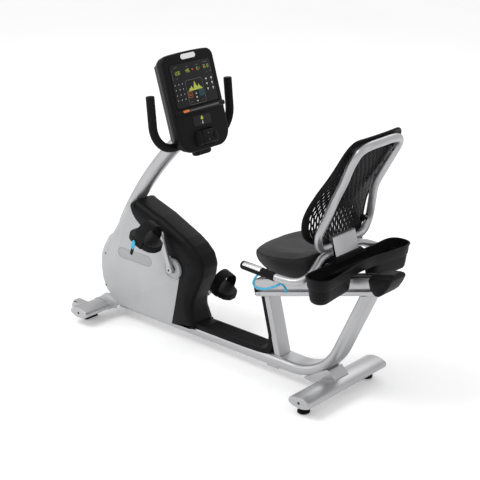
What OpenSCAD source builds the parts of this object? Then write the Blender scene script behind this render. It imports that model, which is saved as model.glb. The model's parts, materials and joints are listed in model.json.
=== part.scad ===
// Recumbent exercise bike. The rider faces -X, +Y is the rider's right, +Z is up.
// The origin is on the floor, under the middle of the machine.

/* [Base] */
// Half length of the rear stabiliser
rear_foot_half = 271; // [240:1:300]
// Half length of the front stabiliser
front_foot_half = 262; // [240:1:300]
// Width of the stabiliser section
foot_w = 112; // [90:1:130]
// Height of the stabiliser section
foot_h = 50; // [40:1:60]
// Centre height of the stabilisers
foot_z = 66; // [60:1:75]
// Radius of the transport wheels
wheel_r = 27; // [22:1:28]

/* [Frame] */
// Width of the base beam
beam_w = 120; // [100:1:130]
// Height of the base beam
beam_h = 54; // [44:1:60]
// Width of the rear riser
riser_w = 106; // [80:1:120]
// Thickness of the rear riser
riser_t = 46; // [36:1:50]
// Angle of the rear riser above the floor
riser_angle = 65; // [60:1:70]
// Radius of the bend at the foot of the riser
bend_r = 270; // [240:5:300]
// Outer radius of the console mast
mast_r = 35; // [30:1:38]

/* [Seat rail] */
// Slope of the seat rail
rail_angle = 15.9; // [14:0.1:18]
// Length of the seat rail
rail_len = 676; // [640:1:700]
// Seat travel forwards from the shown position
travel_front = 140; // [100:5:145]
// Seat travel rearwards from the shown position
travel_rear = 165; // [100:5:165]

/* [Drive] */
// Radius from the crank axle to the pedal spindle
crank_r = 170; // [165:1:175]
// Angle of the left crank arm, measured from the seat side
crank_angle = 108; // [90:1:120]
// Radius of the crank pulley
crank_pulley_r = 110; // [90:1:115]
// Radius of the small pulley on the jackshaft
jack_small_r = 26; // [20:1:30]
// Radius of the large pulley on the jackshaft
jack_large_r = 80; // [60:1:82]
// Radius of the generator pulley
generator_pulley_r = 20; // [16:1:24]

/* [Covers] */
// Outer half width of the shroud
shroud_half = 75; // [72:1:85]
// Wall thickness of moulded covers
wall = 3; // [2:0.5:4]

/* [Console] */
// Half width of the console
console_half = 157; // [140:1:170]
// Backward lean of the console face
console_lean = 16.9; // [10:0.1:25]

/* [Seat] */
// Half width of the cushion
cushion_half = 215; // [190:1:230]
// Outer radius of the back frame tube
loop_r = 17.5; // [14:0.5:20]
// Outer radius of the side handlebar tube
side_r = 16; // [14:0.5:18]
// Height of the tray rim
tray_rim_z = 653; // [645:1:660]

/* [Hidden] */
$fn = 48;

silver = "silver";
light_grey = "lightgray";
black = [0.13, 0.13, 0.13];
cyan_blue = [0.16, 0.7, 0.84];
gap = 0.3;          // play between parts that pass each other
run_fit = 0.05;     // radial clearance of a running fit

rear_foot_x = 608;
front_foot_x = -772;
beam_z = 73;
beam_front_x = -722;
bend_x = 379;       // where the beam starts to bend upwards
rail_x = 180;       // lower front corner of the rail base
rail_z = 355;
rail_base_h = 20;
rail_low = 28;      // underside of the sliding rail above the rail base's underside
rail_top = 73;
rail_half = 45;
groove_half = 8;
groove_floor = 60;
cap_from = 664;
cap_to = 758;
crank_x = -305;
crank_z = 366;
arm_y = 98;
arm_t = 14;
axle_r = 10;
spindle_r = 7;
pedal_y = 193;
pedal_half = 57;
pedal_tilt = 20;
jack_x = -535;
jack_z = 350;
gen_x = -690;
gen_z = 235;
plate_in = 35;     // the plates clasp the mast
plate_t = 5;
console_x = -204;
console_z = 1146;
bar_x = -233.5;
bar_z = 972;
bar_half = 245;
bar_bend = 115;
bar_up = 245;
lever_x = 373;
lever_z = 485;
pin_s = 262;        // place of the lock pin along the rail
paddle_z = -143;
paddle_pin_r = 3;
tube_wall = 3;
foot_crown_r = 110; // the stabilisers' top and bottom are large arcs
foot_offset = 13;   // the levelling feet stand ahead of the stabiliser's middle
foot_stem_r = 6;
level_y = 220;
pad_x = front_foot_x - 34;
pad_y = 155;
pad_round = 6;
wheel_x = -859;
wheel_y = 190;
wheel_z = 60;
wheel_plate_r = wheel_r - 4;
wheel_axle_r = 6;
post_t = 33;
strap_t = 3;
tread_top = 14;
arch_z = 32;         // where the strap's arch springs from its legs
carriage_len = 304;
bracket_y = 72;
side_grip_r = 18.6;

// ---- helpers ----

function along(path, i, closed) =
  let (n = len(path), a = closed ? (i + n - 1) % n : max(i - 1, 0),
       b = closed ? (i + 1) % n : min(i + 1, n - 1), d = path[b] - path[a])
  d / norm(d);

function ring(path, i, r, sides, ref, closed) =
  let (t = along(path, i, closed), c = cross(t, ref), u = c / norm(c), v = cross(t, u))
  [for (k = [0:sides - 1]) path[i] + r * (u * cos(360 * k / sides) + v * sin(360 * k / sides))];

// A round tube swept along a path. ref is a direction the path never follows.
module swept(path, r, ref, closed = false, sides = 16) {
  n = len(path);
  points = [for (i = [0:n - 1]) each ring(path, i, r, sides, ref, closed)];
  last = closed ? n - 1 : n - 2;
  walls = [for (i = [0:last]) for (k = [0:sides - 1])
    let (j = (i + 1) % n, m = (k + 1) % sides)
    [i * sides + k, j * sides + k, j * sides + m, i * sides + m]];
  ends = closed ? [] : [
    [for (k = [0:sides - 1]) k],
    [for (k = [0:sides - 1]) (n - 1) * sides + sides - 1 - k]];
  polyhedron(points, concat(walls, ends), convexity = 8);
}

// Points on a smooth curve through the corners of a path
function blend(a, b, c, d, t) =
  0.5 * ((2 * b) + (c - a) * t + (2 * a - 5 * b + 4 * c - d) * t * t
  + (3 * b - a - 3 * c + d) * t * t * t);
function smooth(p, steps, closed = false) =
  let (n = len(p), spans = closed ? n : n - 1)
  [for (i = [0:spans - 1]) for (s = [0:steps - 1])
    let (a = closed ? p[(i + n - 1) % n] : p[max(i - 1, 0)], b = p[i],
         c = closed ? p[(i + 1) % n] : p[min(i + 1, n - 1)],
         d = closed ? p[(i + 2) % n] : p[min(i + 2, n - 1)])
    blend(a, b, c, d, s / steps), if (!closed) p[n - 1]];

function flip(p) = [p[0], -p[1], p[2]];
function mirrored(half) =
  concat(half, [for (i = [len(half) - 1:-1:0]) if (half[i][1] != 0) flip(half[i])]);

module both_sides() {
  children();
  mirror([0, 1, 0]) children();
}

// A profile drawn in X and Z, extruded between two places across the machine
module across(y0, y1) {
  translate([0, y1, 0]) rotate([90, 0, 0]) linear_extrude(y1 - y0) children();
}

module stadium(w, h) {
  square([w - h, h], center = true);
  for (s = [-1, 1]) translate([s * (w - h) / 2, 0]) circle(d = h);
}

module hollow_stadium(w, h, t) {
  difference() {
    stadium(w, h);
    stadium(w - 2 * t, h - 2 * t);
  }
}

// Axis across the machine through (x, z), from y0 to y1
module rod(x, z, y0, y1, r) {
  translate([x, y0, z]) rotate([-90, 0, 0]) cylinder(r = r, h = y1 - y0);
}

module on_rail() {
  translate([rail_x, 0, rail_z]) rotate([0, -rail_angle, 0]) children();
}

module on_console() {
  translate([console_x, 0, console_z]) rotate([0, -console_lean, 0]) children();
}

// A flat outline in the console's own face, extruded outwards from depth a to depth b
module console_slab(a, b) {
  on_console() translate([a, 0, 0]) rotate([90, 0, 90]) linear_extrude(b - a) children();
}

// ---- base ----

// A lens: a stadium cut by two large arcs, drawn in by t all round
module foot_section(t) intersection() {
  stadium(foot_w - 2 * t, foot_h - 2 * t);
  for_both_arcs() circle(r = foot_crown_r - t, $fn = 144);
}

module for_both_arcs() intersection() {
  translate([0, foot_h / 2 - foot_crown_r]) children();
  translate([0, foot_crown_r - foot_h / 2]) children();
}

module stabilizer(x, half) {
  translate([x, 0, foot_z]) across(-half + 6, half - 6) difference() {
    foot_section(0);
    foot_section(tube_wall);
  }
}

module front_stabilizer() color(silver) stabilizer(front_foot_x, front_foot_half);

// The levelling feet turn up into threaded bosses inside the rear stabiliser
module rear_stabilizer() color(silver) difference() {
  union() {
    stabilizer(rear_foot_x, rear_foot_half);
    both_sides() translate([rear_foot_x - foot_offset, level_y, foot_z - 24])
      cylinder(r = 13, h = 30);
  }
  both_sides() translate([rear_foot_x - foot_offset, level_y, 30])
    cylinder(r = foot_stem_r + run_fit, h = 80);
}

module end_cap(x, half) {
  translate([x, 0, foot_z]) {
    across(half - 6, half) foot_section(0);
    across(half - 22, half - 6) foot_section(tube_wall);
  }
}

module stabilizer_end_caps() color(silver) both_sides() {
  end_cap(front_foot_x, front_foot_half);
  end_cap(rear_foot_x, rear_foot_half);
}

module front_pads() color(black) both_sides() translate([pad_x, pad_y, 0]) {
  linear_extrude(12) offset(r = pad_round) square([26 - 2 * pad_round, 78 - 2 * pad_round], true);
  cylinder(r = 10, h = 47);
}

module wheel_brackets() color(silver) both_sides() {
  for (y = [wheel_y - 19, wheel_y + 15]) across(y, y + 4) {
    translate([wheel_x, wheel_z]) circle(r = wheel_plate_r);
    polygon([[wheel_x, wheel_z - wheel_plate_r], [-800, 50], [-800, 84],
             [wheel_x, wheel_z + wheel_plate_r]]);
  }
  rod(wheel_x, wheel_z, wheel_y - 23, wheel_y + 23, wheel_axle_r);
}

module wheel() color(black) difference() {
  rod(wheel_x, wheel_z, wheel_y - 14, wheel_y + 14, wheel_r);
  rod(wheel_x, wheel_z, wheel_y - 15, wheel_y + 15, wheel_axle_r + run_fit);
}

module left_wheel() mirror([0, 1, 0]) wheel();

module right_wheel() wheel();

module leveling_foot() color(black) translate([rear_foot_x - foot_offset, level_y, 0]) {
  cylinder(r = 27, h = 12);
  cylinder(r = 17, h = 24);
  cylinder(r = foot_stem_r, h = 64);
}

module left_leveling_foot() mirror([0, 1, 0]) leveling_foot();

module right_leveling_foot() leveling_foot();

// ---- frame ----

module base_beam() color(silver) {
  translate([beam_front_x, 0, beam_z]) rotate([90, 0, 90])
    linear_extrude(bend_x - beam_front_x) hollow_stadium(beam_w, beam_h, tube_wall);
}

module above_rail_base() on_rail() translate([-400, -200, 0]) cube([1600, 400, 400]);

module rear_riser() color(silver) difference() {
  translate([bend_x, 0, beam_z + bend_r]) rotate([90, 0, 0]) {
    rotate([0, 0, -90]) rotate_extrude(angle = riser_angle, $fn = 96)
      translate([bend_r, 0]) rotate(90) hollow_stadium(riser_w, riser_t, tube_wall);
    // The straight length is a hair thicker, so that its wall closes round the bend's wall
    rotate([0, 0, riser_angle - 90]) translate([bend_r, -6, 0]) rotate([-90, 0, 0])
      linear_extrude(336) rotate(90)
        hollow_stadium(riser_w + 0.4, riser_t + 0.4, tube_wall + 0.4);
  }
  above_rail_base();
}

module rear_saddle() color(silver) across(-47, 47)
  polygon([[470, 52], [528, 43], [560, 70], [640, 86], [608, 126], [560, 104]]);

// The front post leans towards the rider's feet
module at_post() translate([296, 0, 92]) rotate([0, -13.9, 0]) children();

module front_post() color(silver) difference() {
  at_post() linear_extrude(320) difference() {
    square([post_t, 75], center = true);
    square([post_t - 2 * tube_wall, 75 - 2 * tube_wall], center = true);
  }
  above_rail_base();
}

module post_cover() color(black) difference() {
  at_post() translate([-post_t / 2 - 18, 0, 0]) linear_extrude(320)
    square([35, 78], center = true);
  above_rail_base();
  translate([0, 0, beam_z]) rotate([90, 0, 90])
    linear_extrude(500) stadium(beam_w + gap, beam_h + gap);
  translate([-400, -60, 0]) cube([665, 120, 118]);
}

module step_cover() color(black) difference() {
  across(-54, 54) polygon([[-190, 84], [262, 84], [262, 112], [250, 117], [-190, 117]]);
  translate([-300, 0, beam_z]) rotate([90, 0, 90])
    linear_extrude(700) stadium(beam_w + gap, beam_h + gap);
  at_post() translate([-post_t / 2 - 36, -60, -20]) cube([100, 120, 60]);
}

module rail_base() color(silver) on_rail() rotate([90, 0, 90]) linear_extrude(rail_len)
  difference() {
    translate([-50, 0]) square([100, rail_base_h]);
    translate([-46, 4]) square([92, rail_base_h - 8]);
  }

module seat_rail() color("gray") on_rail() rotate([90, 0, 90]) linear_extrude(rail_len)
  difference() {
    union() {
      intersection() {
        translate([-rail_half, rail_low]) square([2 * rail_half, rail_top - rail_low]);
        translate([0, (rail_top + rail_low) / 2]) circle(r = 48);
      }
      translate([-34, rail_base_h]) square([68, rail_low - rail_base_h + 1]);
    }
    translate([-groove_half, groove_floor]) square([2 * groove_half, 20]);
    for (s = [-1, 1]) translate([s * 24 - 14, 32]) square([28, 34]);
    translate([-7, 32]) square([14, 24]);
  }

module rail_end_caps() color(black) {
  on_rail() translate([-6, -47, 2]) cube([6, 94, 72]);
  on_rail() difference() {
    across(-56, 56) polygon([[cap_from + 6, -1], [cap_from, 6], [cap_from, 82], [cap_to - 3, 82],
      [cap_to, 78], [cap_to - 39, 8], [cap_from + 19, -4]]);
    translate([cap_from - 1, -50, 0]) cube([rail_len - cap_from + 1, 100, rail_top]);
  }
}

module mast() color(silver) translate([913, 0, -390]) rotate([90, 0, 0])
  rotate([0, 0, 129.8]) rotate_extrude(angle = 21.7, $fn = 180) translate([1830, 0])
    difference() {
      circle(r = mast_r);
      circle(r = mast_r - 3);
    }

module drive_plates() color("dimgray") both_sides() difference() {
  across(plate_in, plate_in + plate_t) polygon([[-735, 99], [-300, 99], [-262, 330], [-268, 400],
    [-330, 430], [-500, 500], [-560, 560], [-640, 560], [-715, 430], [-785, 300], [-785, 190],
    [-772, 142]]);
  rod(crank_x, crank_z, 0, 60, 28);
  rod(jack_x, jack_z, 0, 60, axle_r + run_fit);
  rod(gen_x, gen_z, 0, 60, axle_r + run_fit);
}

module crank_bearings() color("gray") {
  difference() {
    rod(crank_x, crank_z, -50, 50, 28);
    rod(crank_x, crank_z, -51, 51, 22);
  }
  for (y = [-44, 30]) difference() {
    rod(crank_x, crank_z, y, y + 14, 22);
    rod(crank_x, crank_z, y - 1, y + 15, axle_r + run_fit);
  }
}

// ---- covers ----

// Side outline of the two grey shrouds and the black centre shroud together
module cover_outline() polygon([[-585, 622], [-612, 616], [-632, 592], [-700, 484], [-735, 434],
  [-763, 413], [-798, 360], [-819, 314], [-825, 245], [-817, 186], [-792, 132], [-704, 69],
  [-326, 73], [-185, 84], [-187, 118], [-215, 173], [-207, 225], [-180, 280], [-148, 346],
  [-140, 399], [-158, 448], [-192, 484], [-247, 518], [-320, 553], [-403, 587], [-480, 616],
  [-561, 637], [-578, 634]]);

// Everything in front of the seam between grey and black
module seam_region(play) offset(delta = play) polygon([[-326, 60], [-262, 311], [-282, 366],
  [-335, 412], [-520, 528], [-582, 580], [-585, 700], [-960, 700], [-960, 0], [-330, 0]]);

// Three layers that step inwards towards the sides, each drawn in by inset
module cover_solid(inset) {
  inner = shroud_half - 24 - inset;
  middle = shroud_half - 8 - inset;
  across(-inner, inner) offset(r = -inset) cover_outline();
  across(-middle, middle) offset(r = -4 - inset) cover_outline();
  across(inset - shroud_half, shroud_half - inset) offset(r = -12 - inset) cover_outline();
}

module cover_mouths() {
  translate([front_foot_x, 0, foot_z]) across(-100, 100) stadium(foot_w + 1, foot_h + 1);
  translate([-900, 0, beam_z]) rotate([90, 0, 90]) linear_extrude(800)
    stadium(beam_w + 1, beam_h + 1);
  rod(crank_x, crank_z, -100, 100, 51 + gap);
  mast_tool(mast_r + 2);
}

module mast_tool(r) translate([913, 0, -390]) rotate([90, 0, 0]) rotate([0, 0, 127])
  rotate_extrude(angle = 25, $fn = 180) translate([1830, 0]) circle(r = r);

module right_shroud() color(light_grey) difference() {
  intersection() {
    cover_solid(0);
    across(0.2, 200) seam_region(0);
  }
  cover_solid(wall);
  cover_mouths();
}

module left_shroud() mirror([0, 1, 0]) right_shroud();

module center_shroud() color(black) difference() {
  cover_solid(0);
  cover_solid(wall);
  across(-200, 200) seam_region(0.5);
  cover_mouths();
  translate([-330, -55, 60]) cube([400, 110, 58]);
}

// Each disc has a rim behind the shroud's wall, which holds it
module crank_covers() color(silver) both_sides() difference() {
  union() {
    rod(crank_x, crank_z, shroud_half - wall - 2, shroud_half - wall, 56);
    rod(crank_x, crank_z, 70, 86, 51);
    rod(crank_x, crank_z, 86, 90, 44);
  }
  rod(crank_x, crank_z, 69, 84, 47);
  rod(crank_x, crank_z, 69, 91, 20);
}

module cover_screws() color("gray") both_sides() {
  for (p = [[-768, 323], [-775, 156]])
    rod(p[0], p[1], shroud_half - 1, shroud_half + 1.5, 5);
  for (p = [[-544, 566], [-304, 132]])
    rod(p[0], p[1], shroud_half - 1, shroud_half + 1, 4);
}

// ---- console ----

module console_outline(inset) hull() {
  for (s = [-1, 1]) {
    translate([s * (console_half - 38), 198]) circle(r = 38 - inset, $fn = 32);
    translate([s * (console_half - 79), -120]) circle(r = 78 - inset, $fn = 48);
  }
}

module console_housing() color(black) difference() {
  union() {
    console_slab(-28, -6) console_outline(0);
    console_slab(-6, 0) console_outline(5);
  }
  console_slab(-29, -8) console_outline(8);
  console_slab(-9, 1) translate([-36, paddle_z - 40]) square([72, 80]);
  at_paddle() rotate([90, 0, 0]) cylinder(r = paddle_pin_r + run_fit, h = 86, center = true);
}

// The paddle's pivot, inside the thickness of the console's face
module at_paddle() on_console() translate([-4, 0, paddle_z]) children();

module console_back() color(black) difference() {
  union() {
    console_slab(-60, -28) console_outline(6);
    console_slab(-102, -60) console_outline(26);
    console_slab(-64, -30) translate([-46, -218]) square([92, 30]);
  }
  console_slab(-57, -27) console_outline(12);
  console_slab(-99, -56) console_outline(32);
  mast_tool(mast_r + 0.2);
  translate([bar_x, 0, bar_z]) rotate([0, 90, 90]) cylinder(r = 20, h = 400, center = true);
}

module rounded(w, h, r) hull() for (x = [-1, 1]) for (y = [-1, 1])
  translate([x * (w / 2 - r), y * (h / 2 - r)]) circle(r = r, $fn = 24);

module display_panel() color("black") {
  console_slab(0, 1.5) translate([0, 90]) rounded(264, 176, 8);
  console_slab(0, 1.5) translate([0, -67]) rounded(106, 46, 6);
}

module reading_ledge() color(black) console_slab(0, 15) translate([0, -18])
  rounded(304, 20, 4);

module console_badge() color("white") console_slab(0, 1.8) translate([0, 218])
  rounded(90, 20, 9.9);

module resistance_paddle() color(black) at_paddle() {
  translate([7, -34, -32]) cube([20, 68, 64]);
  translate([-4, -30, -10]) cube([12, 60, 20]);
  rotate([90, 0, 0]) cylinder(r = paddle_pin_r, h = 84, center = true);
}

function bar_path(r, top) = concat(
  [[0, -bar_half, top]],
  [for (a = [0:10:90]) [0, -(bar_half - r) - r * cos(a), r - r * sin(a)]],
  [for (a = [90:-10:0]) [0, bar_half - r + r * cos(a), r - r * sin(a)]],
  [[0, bar_half, top]]);

module at_bar() translate([bar_x, 0, bar_z]) rotate([0, -5.2, 0]) children();

module handlebar() color("dimgray") at_bar() swept(bar_path(bar_bend, bar_up - 3), 15.9, [1, 0, 0]);

module handlebar_grips() color(black) at_bar() difference() {
  swept(bar_path(bar_bend, bar_up), 19.2, [1, 0, 0]);
  swept(bar_path(bar_bend, bar_up - 3), 16, [1, 0, 0]);
  translate([-30, -60, -30]) cube([60, 120, 60]);
}

// ---- drive ----

module generator_housing() color("dimgray") difference() {
  rod(gen_x, gen_z, -plate_in, plate_in, 84);
  rod(gen_x, gen_z, 4 - plate_in, plate_in - 4, 79);
  rod(gen_x, gen_z, -40, 40, 14);
}

module generator_rotor() color("gray") {
  rod(gen_x, gen_z, -69, 60, axle_r);
  rod(gen_x, gen_z, 8 - plate_in, plate_in - 8, 75);
  rod(gen_x, gen_z, -68, -54, generator_pulley_r);
}

module jackshaft() color("gray") {
  rod(jack_x, jack_z, -69, 69, axle_r);
  rod(jack_x, jack_z, 54, 68, jack_small_r);
  rod(jack_x, jack_z, -68, -54, jack_large_r);
}

module belt(x1, z1, r1, x2, z2, r2) difference() {
  hull() {
    translate([x1, z1]) circle(r = r1 + 3.5);
    translate([x2, z2]) circle(r = r2 + 3.5);
  }
  hull() {
    translate([x1, z1]) circle(r = r1 + 0.6);
    translate([x2, z2]) circle(r = r2 + 0.6);
  }
}

module drive_belts() color("black") {
  across(56, 66) belt(crank_x, crank_z, crank_pulley_r, jack_x, jack_z, jack_small_r);
  across(-66, -56) belt(jack_x, jack_z, jack_large_r, gen_x, gen_z, generator_pulley_r);
}

module crank_axle() color("gray") {
  rod(crank_x, crank_z, arm_t / 2 - arm_y, arm_y - arm_t / 2, axle_r);
  both_sides() {
    rod(crank_x, crank_z, arm_y - arm_t / 2, arm_y + arm_t / 2, 8);
    rod(crank_x, crank_z, arm_y + arm_t / 2, arm_y + arm_t / 2 + 3, 11);
  }
}

module drive_pulley() color("dimgray") difference() {
  rod(crank_x, crank_z, 54, 68, crank_pulley_r);
  rod(crank_x, crank_z, 53, 69, axle_r);
  for (a = [0:60:300]) rotate_at(crank_x, crank_z, a) rod(crank_x + 68, crank_z, 53, 69, 24);
}

// Turns its children by an angle about the axis across the machine through (x, z)
module rotate_at(x, z, a) translate([x, 0, z]) rotate([0, -a, 0]) translate([-x, 0, -z]) children();

module arm_outline() {
  circle(r = 19);
  translate([crank_r, 0]) circle(r = 14);
  polygon([[0, 14], [0, -14], [crank_r, -11], [crank_r, 11]]);
}

module crank_arm() difference() {
  union() {
    translate([crank_x, 0, crank_z]) across(arm_y - arm_t / 2, arm_y + arm_t / 2) arm_outline();
    rod(crank_x, crank_z, arm_y - arm_t / 2 - 0.4, arm_y, 19);
    rod(crank_x + crank_r, crank_z, arm_y, pedal_y + 40, spindle_r);
  }
  rod(crank_x, crank_z, arm_y - arm_t / 2 - 2, arm_y - arm_t / 2, axle_r);
  rod(crank_x, crank_z, arm_y - arm_t / 2 - 1, arm_y + arm_t, 8);
}

module crank_arms() color("lightgray") {
  rotate_at(crank_x, crank_z, crank_angle) mirror([0, 1, 0]) crank_arm();
  rotate_at(crank_x, crank_z, crank_angle + 180) crank_arm();
}

module at_pedal(side) {
  a = side < 0 ? crank_angle : crank_angle + 180;
  translate([crank_x + crank_r * cos(a), side * pedal_y, crank_z + crank_r * sin(a)])
    rotate([0, pedal_tilt, 0]) mirror([0, side < 0 ? 1 : 0, 0]) children();
}

// The tread's plan is an egg, blunt at the toe
module pedal_body() color(black) difference() {
  translate([0, 0, tread_top - 34]) linear_extrude(34) intersection() {
    translate([-80, -pedal_half]) square([164, 2 * pedal_half]);
    translate([2, 0]) circle(r = 92);
  }
  rotate([90, 0, 0]) translate([0, 0, -44]) cylinder(r = spindle_r + run_fit, h = 120);
}

// Outline of the arch over the foot, t outside the pedal's own width
module strap_arch(t, low) {
  intersection() {
    translate([0, arch_z]) circle(r = pedal_half + t);
    translate([-90, arch_z - 0.5]) square([180, 90]);
  }
  translate([-pedal_half - t, low]) square([2 * (pedal_half + t), arch_z - low]);
}

module pedal_strap() color(black) {
  difference() {
    translate([-24, 0, 0]) rotate([90, 0, 90]) linear_extrude(54) difference() {
      strap_arch(strap_t, -16);
      strap_arch(0, -17);
    }
    rotate([90, 0, 0]) cylinder(r = spindle_r + 3, h = 100);
  }
  translate([-24, pedal_half + 0.2, -74]) cube([16, 2.6, 60]);
}

module strap_buckle() color(cyan_blue) translate([-26, pedal_half + strap_t, -42])
  cube([22, 7, 44]);

module left_pedal() at_pedal(-1) pedal_body();

module left_pedal_strap() at_pedal(-1) pedal_strap();

module left_strap_buckle() at_pedal(-1) strap_buckle();

module right_pedal() at_pedal(1) pedal_body();

module right_pedal_strap() at_pedal(1) pedal_strap();

module right_strap_buckle() at_pedal(1) strap_buckle();

// ---- seat ----

module seat_carriage() color(silver) difference() {
  union() {
    on_rail() translate([156, -60, 76]) cube([carriage_len, 120, 5]);
    on_rail() both_sides() translate([156, 56, 38]) cube([carriage_len, 4, 40]);
    both_sides() across(52, 56) polygon([[390, 492], [620, 557], [620, 561], [370, 561]]);
  }
  on_rail() translate([pin_s, 0, 60]) cylinder(r = 5 + run_fit, h = 60);
  rod(lever_x, lever_z, -70, 70, 6 + run_fit);
}

module carriage_glides() color("white") on_rail() for (s = [170, 408]) both_sides() {
  translate([s, 14, rail_top + gap]) cube([44, 26, 76 - rail_top - gap]);
  translate([s, rail_half + gap, 46]) cube([44, 56 - rail_half - gap, 14]);
}

module seat_pan() color("dimgray") translate([320, -bracket_y, 561])
  cube([300, 2 * bracket_y, 6]);

// Plan of the cushion: a round nose and slightly drawn-in rear corners
module cushion_plan() difference() {
  intersection() {
    translate([228, -cushion_half]) square([350, 2 * cushion_half]);
    translate([228 + 300, 0]) circle(r = 300, $fn = 96);
    translate([420, 0]) circle(r = 262, $fn = 96);
  }
  translate([528, -80]) square([80, 160]);
}

module seat_cushion() color(black) intersection() {
  translate([0, 0, 560]) linear_extrude(160) cushion_plan();
  across(-240, 240) polygon([[222, 596], [300, 577], [437, 567.4], [530, 567.4], [596, 622],
    [596, 690], [560, 686], [420, 668], [300, 644], [236, 630], [222, 612]]);
}

module back_bracket() color(silver) {
  both_sides() across(bracket_y, bracket_y + 4) polygon([[592, 745], [613, 741], [639, 650], [637, 575],
    [560, 561], [536, 563], [565, 597], [598, 662], [590, 700]]);
  across(-bracket_y, bracket_y) polygon([[609, 742], [613, 741], [639, 650], [637, 575], [633, 575], [635, 650]]);
}

loop_half = [[600, 0, 706], [600, -110, 706], [601, -145, 714], [608, -163, 745], [619, -167, 790],
  [642, -148, 862], [665, -131, 935], [704, -134, 1011], [740, -144, 1082], [762, -143, 1126],
  [776, -124, 1152], [783, -92, 1164], [784, -40, 1166], [784, 0, 1166]];

module back_frame() color(silver)
  swept(smooth(mirrored(loop_half), 3, true), loop_r, [0.93, 0, -0.37], true, 12);

// Places down the back shell: height, edge X, half width, forward wrap of the edges
shell_rows = [[724, 596, 128, 8], [734, 575, 168, 20], [757, 561, 192, 30], [792, 558, 203, 31],
  [845, 565, 208, 30], [900, 591, 208, 27], [970, 635, 204, 22], [1033, 679, 196, 18],
  [1082, 708, 189, 14], [1144, 741, 178, 11], [1172, 755, 168, 9], [1188, 762, 148, 7]];
shell_cols = 16;

// Index of a point of the shell's sheet: face, row, column
function id(s, j, i) = (s * len(shell_rows) + j) * (shell_cols + 1) + i;

module back_shell() color(black) {
  rows = len(shell_rows);
  w = shell_cols + 1;
  pts = [for (side = [0, 6]) for (r = shell_rows) for (i = [0:shell_cols])
    let (u = 2 * i / shell_cols - 1)
    [r[1] + r[3] * (1 - u * u) + side, u * r[2], r[0] - side * 0.4]];
  front = [for (j = [0:rows - 2]) for (i = [0:w - 2])
    [id(0, j, i), id(0, j, i + 1), id(0, j + 1, i + 1), id(0, j + 1, i)]];
  back = [for (j = [0:rows - 2]) for (i = [0:w - 2])
    [id(1, j, i), id(1, j + 1, i), id(1, j + 1, i + 1), id(1, j, i + 1)]];
  low = [for (i = [0:w - 2]) [id(0, 0, i), id(1, 0, i), id(1, 0, i + 1), id(0, 0, i + 1)]];
  high = [for (i = [0:w - 2])
    [id(0, rows - 1, i), id(0, rows - 1, i + 1), id(1, rows - 1, i + 1), id(1, rows - 1, i)]];
  left = [for (j = [0:rows - 2]) [id(0, j, 0), id(0, j + 1, 0), id(1, j + 1, 0), id(1, j, 0)]];
  right = [for (j = [0:rows - 2])
    [id(0, j, w - 1), id(1, j, w - 1), id(1, j + 1, w - 1), id(0, j + 1, w - 1)]];
  polyhedron(pts, concat(front, back, low, high, left, right), convexity = 6);
}

side_half = [[306, -280, 607], [400, -280, 602], [484, -280, 599], [560, -277, 600],
  [600, -268, 606], [620, -240, 620], [621, -205, 638], [608, -165, 655], [598, -120, 668],
  [597, -50, 671], [597, 0, 671]];

module side_handlebars() color(silver)
  swept(smooth(mirrored(side_half), 3), side_r - 0.1, [0, 0, 1], sides = 12);

module at_grip() translate([302, 280, 607.3]) rotate([0, 90 + 2.6, 0]) children();

module side_grips() color(black) both_sides() difference() {
  at_grip() cylinder(r = side_grip_r, h = 182);
  at_grip() translate([0, 0, 4]) cylinder(r = side_r, h = 190);
}

module heart_rate_contacts() color("white") both_sides() at_grip() difference() {
  intersection() {
    translate([0, 0, 14]) cylinder(r = side_grip_r + 1, h = 100);
    translate([-40, -13, 0]) cube([40, 26, 130]);
  }
  translate([0, 0, 10]) cylinder(r = side_grip_r, h = 110);
  translate([-30, -0.6, 18]) cube([30, 1.2, 120]);
}

module pod_plan(inset) hull() {
  translate([696, 256]) circle(r = 54 - inset, $fn = 32);
  translate([688, 108]) circle(r = 44 - inset, $fn = 32);
}

module bridge_plan(inset) hull() both_sides_flat() translate([680, 100])
  circle(r = 42 - inset, $fn = 32);

module both_sides_flat() {
  children();
  mirror([0, 1]) children();
}

module accessory_tray() color(black) difference() {
  union() {
    both_sides() translate([0, 0, 540]) linear_extrude(tray_rim_z - 540) pod_plan(0);
    translate([0, 0, 604]) linear_extrude(tray_rim_z - 604) bridge_plan(0);
  }
  both_sides() translate([0, 0, 543]) linear_extrude(120) pod_plan(3);
  translate([0, 0, 607]) linear_extrude(60) bridge_plan(3);
}

lever_half_path = [[372, -66, 486], [372, -104, 486], [364, -118, 484], [345, -120, 470],
  [295, -120, 446], [245, -120, 437], [222, -118, 446], [226, -114, 470], [243, -104, 496],
  [252, -80, 505], [254, -40, 506], [254, 0, 506]];

module adjust_lever() color(cyan_blue) {
  swept(smooth(mirrored(lever_half_path), 2), 4.5, [0.5, 0.12, 0.86], sides = 8);
  both_sides() rod(lever_x, lever_z, 50, 68, 6);
}

module lock_pin() color("gray") on_rail() translate([pin_s, 0, 0]) {
  translate([0, 0, groove_floor + 3]) cylinder(r = 5, h = 40);
  translate([0, 0, 96]) cylinder(r = 11, h = 7);
}

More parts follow.
